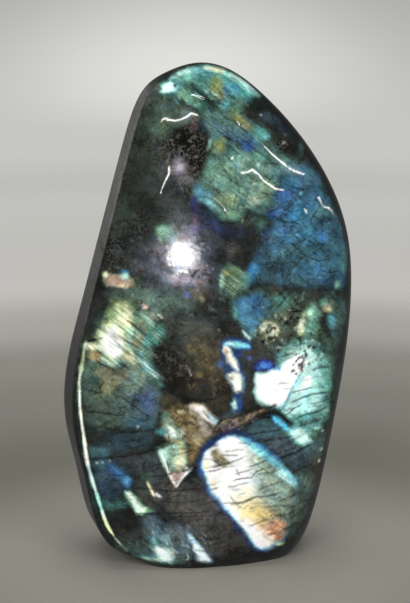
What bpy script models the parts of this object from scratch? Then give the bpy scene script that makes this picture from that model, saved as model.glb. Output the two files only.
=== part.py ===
"""A freeform of labradorite: one stone, ground and polished all over, standing on a sawn base.

The front is a low dome that faces -Y and leans back a little. On the left it breaks over a tight edge
into a flat ground flank; on the other sides it rounds over as a bullnose. The back is a plainer dome.
"""

import math

import bmesh
import bpy
import numpy as np

MM = 0.001

# Driving dimensions, in millimetres. The hub is the middle of the outline, on the stone's centre plane.
HUB_X, HUB_Z = 1.0, 78.0
HALF_WIDTH, HALF_HEIGHT = 47.0, 88.0
LEAN = 0.02  # how far the centre plane goes back for each millimetre of height

# The stone's widest outline as (right of the centre line, above the base). It runs round from the right
# and goes on below the base, where the saw cuts it off.
OUTLINE = (
    (48.7, 88.0), (47.3, 106.2), (40.8, 123.9), (30.4, 139.6), (19.1, 151.6), (9.0, 159.0),
    (-1.3, 161.4), (-11.6, 158.5), (-19.4, 152.4), (-24.9, 138.9), (-30.2, 120.1), (-36.0, 99.0),
    (-41.2, 80.0), (-45.2, 63.0), (-45.9, 47.0), (-42.6, 30.1), (-38.3, 12.3), (-27.0, 0.8),
    (-13.0, -5.5), (5.0, -9.0), (21.0, -6.5), (31.7, 0.7), (38.2, 17.7), (42.4, 38.0), (46.4, 62.0),
)

# The domes: how far each stands off the centre plane at its highest point, where that point is, and
# how gently it curves across and upwards.
FRONT_DEPTH, FRONT_TOP_X, FRONT_TOP_Z, FRONT_RADIUS_X, FRONT_RADIUS_Z = 22.0, 8.0, 35.0, 170.0, 700.0
BACK_DEPTH, BACK_TOP_X, BACK_TOP_Z, BACK_RADIUS_X, BACK_RADIUS_Z = 24.0, 0.0, 30.0, 140.0, 620.0

# The rim: how wide the bullnose is in front and behind, wider at the base's right-hand corner.
BULLNOSE = 11.0
BASE_BULLNOSE, BASE_CORNER_TURN = 20.0, math.radians(-58)
BACK_BULLNOSE = 14.0

# The flank: where the outline faces left squarely enough for it, how far it tapers towards the front
# (more below LOW_FLANK_Z), the radius of its front edge, and where it ends behind the centre plane.
FLANK_STARTS, FLANK_FULL = 0.05, 0.9
FLANK_TAPER, LOW_FLANK_TAPER, LOW_FLANK_Z = 0.8, 2.0, 45.0
FLANK_EDGE_RADIUS = 1.8
FLANK_REAR_Y = 1.0

# How fine the facets are: each dome's grid, and the rings that run round the rim.
COLUMNS, ROWS = 28, 48
EDGE_RINGS, FLANK_RINGS, BACK_RINGS = 3, 3, 4
SEAM = 1e-3  # corners closer than this are one


def outline_spline():
    """A closed cubic spline through the outline: its turns about the hub, the gaps between them, its
    reach at each as a share of a plain ellipse, and its bending there."""
    points = np.array(OUTLINE)
    across = (points[:, 0] - HUB_X) / HALF_WIDTH
    up = (points[:, 1] - HUB_Z) / HALF_HEIGHT
    turns = np.unwrap(np.arctan2(up, across))
    reach = np.hypot(across, up)
    gaps = np.append(turns[1:], turns[0] + 2 * math.pi) - turns
    slopes = (np.roll(reach, -1) - reach) / gaps
    before = np.roll(gaps, 1)
    count = len(points)
    bending = np.diag(2 * (before + gaps))
    for place in range(count):
        bending[place, place - 1] = before[place]
        bending[place, (place + 1) % count] = gaps[place]
    return turns, gaps, reach, np.linalg.solve(bending, 6 * (slopes - np.roll(slopes, 1)))


SPLINE = outline_spline()


def reach_at(turn):
    """The outline's reach at a turn about the hub, as a share of the plain ellipse."""
    turns, gaps, reach, bend = SPLINE
    ahead = (turn - turns[0]) % (2 * math.pi)
    place = int(np.searchsorted(turns - turns[0], ahead, side="right")) - 1
    follow = (place + 1) % len(turns)
    gap = gaps[place]
    done = ahead - (turns[place] - turns[0])
    left = gap - done
    line = (left * reach[place] + done * reach[follow]) / gap
    curve = (left**3 / gap - left * gap) * bend[place] + (done**3 / gap - done * gap) * bend[follow]
    return line + curve / 6


def outline_at(turn, inset):
    """The outline's point at that turn, moved inwards square to it, and how far right it faces."""
    share = reach_at(turn)
    step = 1e-3
    ends = []
    for angle in (turn - step, turn + step):
        reach = reach_at(angle)
        ends.append((reach * HALF_WIDTH * math.cos(angle), reach * HALF_HEIGHT * math.sin(angle)))
    along_x, along_z = ends[1][0] - ends[0][0], ends[1][1] - ends[0][1]
    length = math.hypot(along_x, along_z)
    out_x, out_z = along_z / length, -along_x / length
    x = HUB_X + share * HALF_WIDTH * math.cos(turn) - inset * out_x
    z = HUB_Z + share * HALF_HEIGHT * math.sin(turn) - inset * out_z
    return x, z, out_x


def smooth(low, high, value):
    share = min(1.0, max(0.0, (value - low) / (high - low)))
    return share * share * (3 - 2 * share)


def flank_share(turn):
    """1 where the ground flank is, 0 where the rim is a bullnose."""
    return smooth(FLANK_STARTS, FLANK_FULL, -outline_at(turn, 0.0)[2])


def flank_taper(turn):
    """How far the flank's front edge stands inside its rear edge."""
    high = smooth(LOW_FLANK_Z, 2 * LOW_FLANK_Z, outline_at(turn, 0.0)[1])
    return high * FLANK_TAPER + (1 - high) * LOW_FLANK_TAPER


def bullnose(turn):
    """How wide the front bullnose is at that turn."""
    near_corner = max(0.0, math.cos(turn - BASE_CORNER_TURN)) ** 4
    return BULLNOSE + (BASE_BULLNOSE - BULLNOSE) * near_corner


def front_inset(turn):
    """How far inside the outline the front dome ends and the rim begins."""
    flank = flank_share(turn)
    return (1 - flank) * bullnose(turn) + flank * (flank_taper(turn) + FLANK_EDGE_RADIUS)


def back_inset(turn):
    """How far inside the outline the back dome ends, the same all round."""
    return BACK_BULLNOSE


def centre_plane(z):
    return LEAN * z


def front_dome(x, z):
    fall = (x - FRONT_TOP_X) ** 2 / (2 * FRONT_RADIUS_X) + (z - FRONT_TOP_Z) ** 2 / (2 * FRONT_RADIUS_Z)
    return centre_plane(z) - FRONT_DEPTH + fall


def back_dome(x, z):
    fall = (x - BACK_TOP_X) ** 2 / (2 * BACK_RADIUS_X) + (z - BACK_TOP_Z) ** 2 / (2 * BACK_RADIUS_Z)
    return centre_plane(z) + BACK_DEPTH - fall


def rim_place(turn, ring):
    """A point of the rim between the front dome and the widest outline, by its ring number."""
    flank = flank_share(turn)
    taper = flank_taper(turn)
    edge_x, edge_z, _ = outline_at(turn, front_inset(turn))
    edge_y = front_dome(edge_x, edge_z)
    middle_y = centre_plane(edge_z)
    quarter = 0.5 * math.pi * ring / (EDGE_RINGS + FLANK_RINGS)
    nose_inset = bullnose(turn) * (1 - math.sin(quarter))
    nose_y = edge_y + (middle_y - edge_y) * (1 - math.cos(quarter))
    turned = 0.5 * math.pi * min(1.0, ring / EDGE_RINGS)
    down = max(0, ring - EDGE_RINGS) / FLANK_RINGS
    flank_inset = FLANK_EDGE_RADIUS * (1 - math.sin(turned)) + taper * (1 - down)
    flank_y = edge_y + FLANK_EDGE_RADIUS * (1 - math.cos(turned))
    flank_y += down * (middle_y + FLANK_REAR_Y - edge_y - FLANK_EDGE_RADIUS)
    x, z, _ = outline_at(turn, (1 - flank) * nose_inset + flank * flank_inset)
    return x, (1 - flank) * nose_y + flank * flank_y, z


def back_place(turn, ring):
    """A point of the rim between the widest outline and the back dome."""
    edge_x, edge_z, _ = outline_at(turn, BACK_BULLNOSE)
    widest_y = rim_place(turn, EDGE_RINGS + FLANK_RINGS)[1]
    quarter = 0.5 * math.pi * ring / BACK_RINGS
    x, z, _ = outline_at(turn, BACK_BULLNOSE * (1 - math.cos(quarter)))
    return x, widest_y + (back_dome(edge_x, edge_z) - widest_y) * math.sin(quarter), z


def rounded(across, up):
    """A point of the square that runs from -1 to 1 both ways, moved to its place in a disc."""
    return across * math.sqrt(1 - 0.5 * up * up), up * math.sqrt(1 - 0.5 * across * across)


def add_dome(shape, inset_at, dome):
    """Lays a square grid on a dome. Returns the turn about the hub of each corner on its boundary."""
    grid = bmesh.ops.create_grid(shape, x_segments=COLUMNS, y_segments=ROWS, size=1.0)
    turns = {}
    for vert in grid["verts"]:
        disc_x, disc_z = rounded(vert.co.x, vert.co.y)
        turn, reach = math.atan2(disc_z, disc_x), math.hypot(disc_x, disc_z)
        if vert.is_boundary:
            turns[vert] = turn
        edge_x, edge_z, _ = outline_at(turn, inset_at(turn))
        x = HUB_X + reach * (edge_x - HUB_X)
        z = HUB_Z + reach * (edge_z - HUB_Z)
        vert.co = (x, dome(x, z), z)
    return turns


def add_ring(shape, turns, place, ring):
    """Extrudes the boundary by one ring, puts it in place and returns its own turns."""
    edges = {edge for vert in turns for edge in vert.link_edges if edge.is_boundary}
    grown = bmesh.ops.extrude_edge_only(shape, edges=list(edges))
    placed = {}
    for vert in grown["geom"]:
        if isinstance(vert, bmesh.types.BMVert):
            inner = next(edge.other_vert(vert) for edge in vert.link_edges if edge.other_vert(vert) in turns)
            placed[vert] = turns[inner]
    for vert, turn in placed.items():
        vert.co = place(turn, ring)
    return placed


def saw_base(shape):
    """Cuts the stone off flat at Z = 0 and closes the cut."""
    everything = list(shape.verts) + list(shape.edges) + list(shape.faces)
    cut = bmesh.ops.bisect_plane(
        shape, geom=everything, plane_co=(0, 0, 0), plane_no=(0, 0, 1), dist=SEAM, clear_inner=True
    )
    edges = [item for item in cut["geom_cut"] if isinstance(item, bmesh.types.BMEdge)]
    bmesh.ops.edgeloop_fill(shape, edges=edges)


def stone_shape():
    """The whole stone in millimetres: front dome, rim, back dome and base."""
    shape = bmesh.new()
    turns = add_dome(shape, front_inset, front_dome)
    for ring in range(1, EDGE_RINGS + FLANK_RINGS + 1):
        turns = add_ring(shape, turns, rim_place, ring)
    for ring in range(1, BACK_RINGS + 1):
        turns = add_ring(shape, turns, back_place, ring)
    add_dome(shape, back_inset, back_dome)
    bmesh.ops.remove_doubles(shape, verts=shape.verts, dist=SEAM)
    saw_base(shape)
    bmesh.ops.recalc_face_normals(shape, faces=shape.faces)
    return shape


def centre_and_scale(shape):
    """Moves the stone so that its box is centred over the origin, and turns it into metres."""
    places = np.array([vert.co for vert in shape.verts])
    middle = 0.5 * (places.min(axis=0) + places.max(axis=0))
    bmesh.ops.translate(shape, verts=shape.verts, vec=(-middle[0], -middle[1], 0.0))
    bmesh.ops.scale(shape, verts=shape.verts, vec=(MM, MM, MM))


def polished_labradorite():
    """Dark grey-green feldspar with a glassy polish."""
    finish = bpy.data.materials.new("polished labradorite")
    finish.use_nodes = True
    shader = finish.node_tree.nodes["Principled BSDF"]
    shader.inputs["Base Color"].default_value = (0.035, 0.055, 0.06, 1.0)
    shader.inputs["Roughness"].default_value = 0.12
    shader.inputs["Metallic"].default_value = 0.0
    shader.inputs["IOR"].default_value = 1.56
    return finish


def main():
    for old in list(bpy.data.objects):
        bpy.data.objects.remove(old)
    shape = stone_shape()
    centre_and_scale(shape)
    mesh = bpy.data.meshes.new("labradorite_freeform")
    shape.to_mesh(mesh)
    shape.free()
    mesh.shade_smooth()
    mesh.materials.append(polished_labradorite())
    stone = bpy.data.objects.new("labradorite_freeform", mesh)
    bpy.context.scene.collection.objects.link(stone)


main()
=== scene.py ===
"""A polished labradorite freeform: one stone that stands on its own sawn base, on a plain floor."""

import math

import bmesh
import bpy
import numpy as np
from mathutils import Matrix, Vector


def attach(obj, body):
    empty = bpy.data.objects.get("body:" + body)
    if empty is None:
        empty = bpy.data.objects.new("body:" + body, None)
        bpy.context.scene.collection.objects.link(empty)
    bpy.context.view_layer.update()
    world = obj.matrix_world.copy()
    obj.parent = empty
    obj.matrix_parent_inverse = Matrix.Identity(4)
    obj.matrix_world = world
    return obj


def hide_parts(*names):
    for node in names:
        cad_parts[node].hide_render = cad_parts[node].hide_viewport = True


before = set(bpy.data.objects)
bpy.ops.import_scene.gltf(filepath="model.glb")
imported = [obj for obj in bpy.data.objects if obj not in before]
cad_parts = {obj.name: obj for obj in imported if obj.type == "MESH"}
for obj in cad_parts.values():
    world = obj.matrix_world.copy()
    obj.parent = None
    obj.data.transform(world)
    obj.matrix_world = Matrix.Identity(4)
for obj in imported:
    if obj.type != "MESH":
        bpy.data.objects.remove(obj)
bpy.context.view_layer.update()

# ---------------------------------------------------------------------------------------------
# The stone
# One piece of labradorite, a dark feldspar that flashes. It was sawn off flat below, ground to a free
# shape with a low domed face, a flat flank on the left and a rounded rim elsewhere, and polished.
# ---------------------------------------------------------------------------------------------
MM = 0.001
HUB_X, HUB_Z = 1.0, 78.0  # the middle of the outline
HALF_WIDTH, HALF_HEIGHT = 47.0, 88.0
LEAN = 0.02  # how far the centre plane goes back for each millimetre of height

# The widest outline as (right of the centre line, above the base). The saw cuts off what is below 0.
OUTLINE = (
    (48.7,88.0), (47.3,106.2), (40.8,123.9), (30.4,139.6), (19.1,151.6), (9.0,159.0),
    (-1.3,161.4), (-11.6,158.5), (-19.4,152.4), (-24.9,138.9), (-30.2,120.1), (-36.0,99.0),
    (-41.2,80.0), (-45.2,63.0), (-45.9,47.0), (-42.6,30.1), (-38.3,12.3), (-27.0,0.8),
    (-13.0,-5.5), (5.0,-9.0), (21.0,-6.5), (31.7,0.7), (38.2,17.7), (42.4,38.0), (46.4,62.0),
)
# Both domes: how far they stand out from the centre plane, where, and how tightly they curve.
FRONT_DEPTH, FRONT_TOP_X, FRONT_TOP_Z, FRONT_RADIUS_X, FRONT_RADIUS_Z = 22.0, 8.0, 35.0, 170.0, 700.0
BACK_DEPTH, BACK_TOP_X, BACK_TOP_Z, BACK_RADIUS_X, BACK_RADIUS_Z = 24.0, 0.0, 30.0, 140.0, 620.0
# The rounded rim, wider at the front's lower right corner, and the ground flank on the left.
BULLNOSE, BACK_BULLNOSE = 11.0, 14.0
BASE_BULLNOSE, BASE_CORNER_TURN = 20.0, math.radians(-58)
FLANK_STARTS, FLANK_FULL = 0.05, 0.9
FLANK_TAPER, LOW_FLANK_TAPER, LOW_FLANK_Z = 0.8, 2.0, 45.0
FLANK_EDGE_RADIUS, FLANK_REAR_Y = 1.8, 1.0

# The face is fine enough to hold the cracks and flashes; the back has cells twice as large.
COLUMNS, ROWS = 204, 308
EDGE_RINGS, FLANK_RINGS, BACK_RINGS = 5, 4, 6
RIM_RINGS = EDGE_RINGS + FLANK_RINGS
RIM_CELL, RIM_CUTS, RIM_SEEN = 0.78, 6, 0.62  # cells are cut to this size where the rim faces the front
ON_BACK, ON_BASE = 2.0, 3.0  # roundness: 0 on the face, 1 at the widest outline, then these
SEAM, SAME_TURN, SAME_STORED_TURN = 1e-3, 1e-6, 1e-5  # corners or turns closer than this are one
BASE_EDGE = 0.7
EASED, SHARP = 0.22, 1e-3  # the stretch of outline, in turns, that says which way it faces


def outline_spline():
    """A closed cubic spline through the outline, in turns about the hub."""
    points = np.array(OUTLINE)
    across = (points[:, 0] - HUB_X) / HALF_WIDTH
    up = (points[:, 1] - HUB_Z) / HALF_HEIGHT
    turns = np.unwrap(np.arctan2(up, across))
    reach = np.hypot(across, up)
    gaps = np.append(turns[1:], turns[0] + 2 * math.pi) - turns
    slopes = (np.roll(reach, -1) - reach) / gaps
    before = np.roll(gaps, 1)
    count = len(points)
    bending = np.diag(2 * (before + gaps))
    for place in range(count):
        bending[place, place - 1] = before[place]
        bending[place, (place + 1) % count] = gaps[place]
    return turns, gaps, reach, np.linalg.solve(bending, 6 * (slopes - np.roll(slopes, 1)))


SPLINE = outline_spline()


def smooth(low, high, value):
    """0 up to the low value, 1 from the high one, and an even slope between."""
    share = np.clip((value - low) / (high - low), 0.0, 1.0)
    return share * share * (3 - 2 * share)


def reach_at(turn):
    """The outline's reach at each turn about the hub, as a share of the plain ellipse."""
    turns, gaps, reach, bend = SPLINE
    ahead = (turn - turns[0]) % (2 * math.pi)
    place = np.searchsorted(turns - turns[0], ahead, side="right") - 1
    follow = (place + 1) % len(turns)
    gap = gaps[place]
    done = ahead - (turns[place] - turns[0])
    left = gap - done
    line = (left * reach[place] + done * reach[follow]) / gap
    curve = (left**3 / gap - left * gap) * bend[place] + (done**3 / gap - done * gap) * bend[follow]
    return line + curve / 6


def outline_at(turn, inset, step=EASED):
    """The outline's points at those turns, moved inwards square to it, and how far right each faces."""
    share = reach_at(turn)
    later, earlier = reach_at(turn + step), reach_at(turn - step)
    along_x = HALF_WIDTH * (later * np.cos(turn + step) - earlier * np.cos(turn - step))
    along_z = HALF_HEIGHT * (later * np.sin(turn + step) - earlier * np.sin(turn - step))
    length = np.hypot(along_x, along_z)
    out_x, out_z = along_z / length, -along_x / length
    x = HUB_X + share * HALF_WIDTH * np.cos(turn) - inset * out_x
    z = HUB_Z + share * HALF_HEIGHT * np.sin(turn) - inset * out_z
    return x, z, out_x


def flank_share(turn):
    """1 where the ground flank is, 0 where the rim is a bullnose."""
    return smooth(FLANK_STARTS, FLANK_FULL, -outline_at(turn, 0.0, SHARP)[2])


def flank_taper(turn):
    """How far the flank's front edge stands inside its rear edge."""
    high = smooth(LOW_FLANK_Z, 2 * LOW_FLANK_Z, outline_at(turn, 0.0)[1])
    return high * FLANK_TAPER + (1 - high) * LOW_FLANK_TAPER


def bullnose(turn):
    """How wide the front bullnose is."""
    near_corner = np.maximum(0.0, np.cos(turn - BASE_CORNER_TURN)) ** 4
    return BULLNOSE + (BASE_BULLNOSE - BULLNOSE) * near_corner


def front_inset(turn):
    """How far inside the outline the face ends and the rim begins."""
    flank = flank_share(turn)
    return (1 - flank) * bullnose(turn) + flank * (flank_taper(turn) + FLANK_EDGE_RADIUS)


def back_inset(turn):
    """How far inside the outline the back ends."""
    return BACK_BULLNOSE + 0.0 * turn


def front_dome(x, z):
    """How far back the face lies."""
    fall = (x - FRONT_TOP_X) ** 2 / (2 * FRONT_RADIUS_X) + (z - FRONT_TOP_Z) ** 2 / (2 * FRONT_RADIUS_Z)
    return LEAN * z - FRONT_DEPTH + fall


def back_dome(x, z):
    """How far back the back lies."""
    fall = (x - BACK_TOP_X) ** 2 / (2 * BACK_RADIUS_X) + (z - BACK_TOP_Z) ** 2 / (2 * BACK_RADIUS_Z)
    return LEAN * z + BACK_DEPTH - fall


def rim_place(turn, ring):
    """Places on the rim between the face and the widest outline, by ring number."""
    flank = flank_share(turn)
    taper = flank_taper(turn)
    edge_x, edge_z, _ = outline_at(turn, front_inset(turn))
    edge_y = front_dome(edge_x, edge_z)
    middle_y = LEAN * edge_z
    quarter = 0.5 * math.pi * ring / RIM_RINGS
    nose_inset = bullnose(turn) * (1 - np.sin(quarter))
    nose_y = edge_y + (middle_y - edge_y) * (1 - np.cos(quarter))
    turned = 0.5 * math.pi * np.minimum(1.0, ring / EDGE_RINGS)
    down = np.maximum(0, ring - EDGE_RINGS) / FLANK_RINGS
    flank_inset = FLANK_EDGE_RADIUS * (1 - np.sin(turned)) + taper * (1 - down)
    flank_y = edge_y + FLANK_EDGE_RADIUS * (1 - np.cos(turned))
    flank_y = flank_y + down * (middle_y + FLANK_REAR_Y - edge_y - FLANK_EDGE_RADIUS)
    x, z, _ = outline_at(turn, (1 - flank) * nose_inset + flank * flank_inset)
    return x, (1 - flank) * nose_y + flank * flank_y, z


def back_place(turn, ring):
    """Places on the rim between the widest outline and the back."""
    edge_x, edge_z, _ = outline_at(turn, BACK_BULLNOSE)
    widest_y = rim_place(turn, RIM_RINGS)[1]
    quarter = 0.5 * math.pi * ring / BACK_RINGS
    x, z, _ = outline_at(turn, BACK_BULLNOSE * (1 - math.cos(quarter)))
    return x, widest_y + (back_dome(edge_x, edge_z) - widest_y) * math.sin(quarter), z


def lay_dome(shape, columns, rows, inset_at, dome):
    """Lays a square grid on a dome. Returns its boundary corners with their turns about the hub."""
    grid = bmesh.ops.create_grid(shape, x_segments=columns, y_segments=rows, size=1.0)
    verts = grid["verts"]
    square = np.array([vert.co for vert in verts], dtype=float)
    across, up = square[:, 0], square[:, 1]
    disc_x = across * np.sqrt(1 - 0.5 * up * up)
    disc_z = up * np.sqrt(1 - 0.5 * across * across)
    turn, reach = np.arctan2(disc_z, disc_x), np.hypot(disc_x, disc_z)
    edge_x, edge_z, _ = outline_at(turn, inset_at(turn))
    x = HUB_X + reach * (edge_x - HUB_X)
    z = HUB_Z + reach * (edge_z - HUB_Z)
    boundary = {}
    turn_layer = shape.verts.layers.float["turn"]
    for vert, place, angle in zip(verts, np.stack([x, dome(x, z), z], axis=1), turn):
        vert.co = place
        if vert.is_boundary:
            boundary[vert] = angle
            vert[turn_layer] = angle
    return boundary


def lay_ring(shape, boundary, place, ring, roundness):
    """Extrudes the boundary by one ring, puts it in place and returns its own corners."""
    edges = {edge for vert in boundary for edge in vert.link_edges if edge.is_boundary}
    grown = bmesh.ops.extrude_edge_only(shape, edges=list(edges))
    placed = {}
    for vert in grown["geom"]:
        if isinstance(vert, bmesh.types.BMVert):
            around = [edge.other_vert(vert) for edge in vert.link_edges]
            inner = next(other for other in around if other in boundary)
            placed[vert] = boundary[inner]
    turns = np.array(list(placed.values()))
    round_layer, turn_layer = shape.verts.layers.float["round"], shape.verts.layers.float["turn"]
    for vert, turn, spot in zip(placed, turns, np.stack(place(turns, ring), axis=1)):
        vert.co = spot
        vert[round_layer] = roundness
        vert[turn_layer] = turn
    return placed


def refine_rim(shape):
    """Splits the rim's long cells that face the front, and puts the new corners on its round."""
    round_layer, turn_layer = shape.verts.layers.float["round"], shape.verts.layers.float["turn"]
    to_split = {}
    for edge in shape.edges:
        one, other = edge.verts
        one_turn = abs(one[turn_layer] - other[turn_layer]) < SAME_STORED_TURN
        runs_out = one_turn and one[round_layer] != other[round_layer]
        if runs_out and max(one[round_layer], other[round_layer]) < RIM_SEEN:
            cuts = min(RIM_CUTS, int(edge.calc_length() / RIM_CELL))
            if cuts > 0:
                to_split.setdefault(cuts, []).append(edge)
    for cuts, edges in to_split.items():
        bmesh.ops.subdivide_edges(shape, edges=edges, cuts=cuts)
    added = []
    for vert in shape.verts:
        ring = vert[round_layer] * RIM_RINGS
        if 0 < vert[round_layer] < RIM_SEEN and abs(ring - round(ring)) > SEAM and vert.co.z > SEAM:
            added.append(vert)
    turns = np.array([vert[turn_layer] for vert in added])
    rings = np.array([vert[round_layer] for vert in added]) * RIM_RINGS
    for vert, spot in zip(added, np.stack(rim_place(turns, rings), axis=1)):
        vert.co = spot


def thin_boundary(shape, boundary, wanted):
    """Dissolves the boundary corners whose turn isn't one of the wanted ones."""
    turns = np.sort(np.array(list(wanted)))
    spare = []
    for vert, turn in boundary.items():
        place = np.searchsorted(turns, turn)
        near = min(abs(turns[place % len(turns)] - turn), abs(turns[place - 1] - turn))
        if near > SAME_TURN:
            spare.append(vert)
    kept = {vert: turn for vert, turn in boundary.items() if vert not in set(spare)}
    bmesh.ops.dissolve_verts(shape, verts=spare)
    return kept


stone_shape = bmesh.new()
round_layer = stone_shape.verts.layers.float.new("round")
stone_shape.verts.layers.float.new("turn")
corners = lay_dome(stone_shape, COLUMNS, ROWS, front_inset, front_dome)
for ring in range(1, RIM_RINGS + 1):
    corners = lay_ring(stone_shape, corners, rim_place, ring, ring / RIM_RINGS)
before_back = set(stone_shape.verts)
back_corners = lay_dome(stone_shape, COLUMNS // 2, ROWS // 2, back_inset, back_dome)
for vert in stone_shape.verts:
    if vert not in before_back:
        vert[round_layer] = ON_BACK
for ring in range(1, BACK_RINGS + 1):
    corners = lay_ring(stone_shape, corners, back_place, ring, 1 + ring / BACK_RINGS)
    if ring == 1:
        corners = thin_boundary(stone_shape, corners, set(back_corners.values()))
bmesh.ops.remove_doubles(stone_shape, verts=stone_shape.verts, dist=SEAM)
everything = list(stone_shape.verts) + list(stone_shape.edges) + list(stone_shape.faces)
cut = bmesh.ops.bisect_plane(
    stone_shape, geom=everything, plane_co=(0, 0, 0), plane_no=(0, 0, 1), dist=SEAM, clear_inner=True
)
cut_edges = [item for item in cut["geom_cut"] if isinstance(item, bmesh.types.BMEdge)]
base = bmesh.ops.edgeloop_fill(stone_shape, edges=cut_edges)["faces"]
for edge in cut_edges:
    edge.smooth = False
bmesh.ops.inset_region(stone_shape, faces=base, thickness=BASE_EDGE, use_even_offset=True)
for vert in base[0].verts:
    vert[round_layer] = ON_BASE
refine_rim(stone_shape)
bmesh.ops.recalc_face_normals(stone_shape, faces=stone_shape.faces)
stone_verts = list(stone_shape.verts)
at = np.array([vert.co for vert in stone_verts], dtype=float)
middle = 0.5 * (at.min(axis=0) + at.max(axis=0))
at -= (middle[0], middle[1], 0.0)
stone_shape.normal_update()
facing = np.array([vert.normal for vert in stone_verts])
roundness = np.array([vert[round_layer] for vert in stone_verts])

# The stone's markings: feldspar is dark and cloudy, and where its thin layers lie square to the light it
# flashes blue, green, gold or white. The layers comb down to the right, so the flashes' edges do too.
COMB_TURN = math.radians(-38)


def linear(code):
    """An sRGB hex colour as linear light."""
    share = np.array([int(code[place:place + 2], 16) / 255 for place in (1, 3, 5)])
    return np.where(share <= 0.04045, share / 12.92, ((share + 0.055) / 1.055) ** 2.4)


def waves(x, z, size, seed):
    """Smooth uneven values from -1 to 1, about size millimetres from crest to crest."""
    u, v = x / size + 17.3 * seed, z / size - 9.1 * seed
    column, row = np.floor(u), np.floor(v)
    a, b = u - column, v - row
    a, b = a * a * (3 - 2 * a), b * b * (3 - 2 * b)

    def corner(right, higher):
        spin = np.sin(127.1 * (column + right) + 311.7 * (row + higher) + 74.7 * seed) * 43758.5453
        return 2 * (spin - np.floor(spin)) - 1

    low = corner(0, 0) * (1 - a) + corner(1, 0) * a
    high = corner(0, 1) * (1 - a) + corner(1, 1) * a
    return low * (1 - b) + high * b


def cloud(x, z, size, seed, finer):
    """Waves with finer ones on them, each half the size of the last."""
    total, weight = 0, 0
    for octave in range(finer):
        share = 0.6**octave
        total = total + share * waves(x, z, size / 2**octave, seed + octave)
        weight += share
    return total / weight


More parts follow.
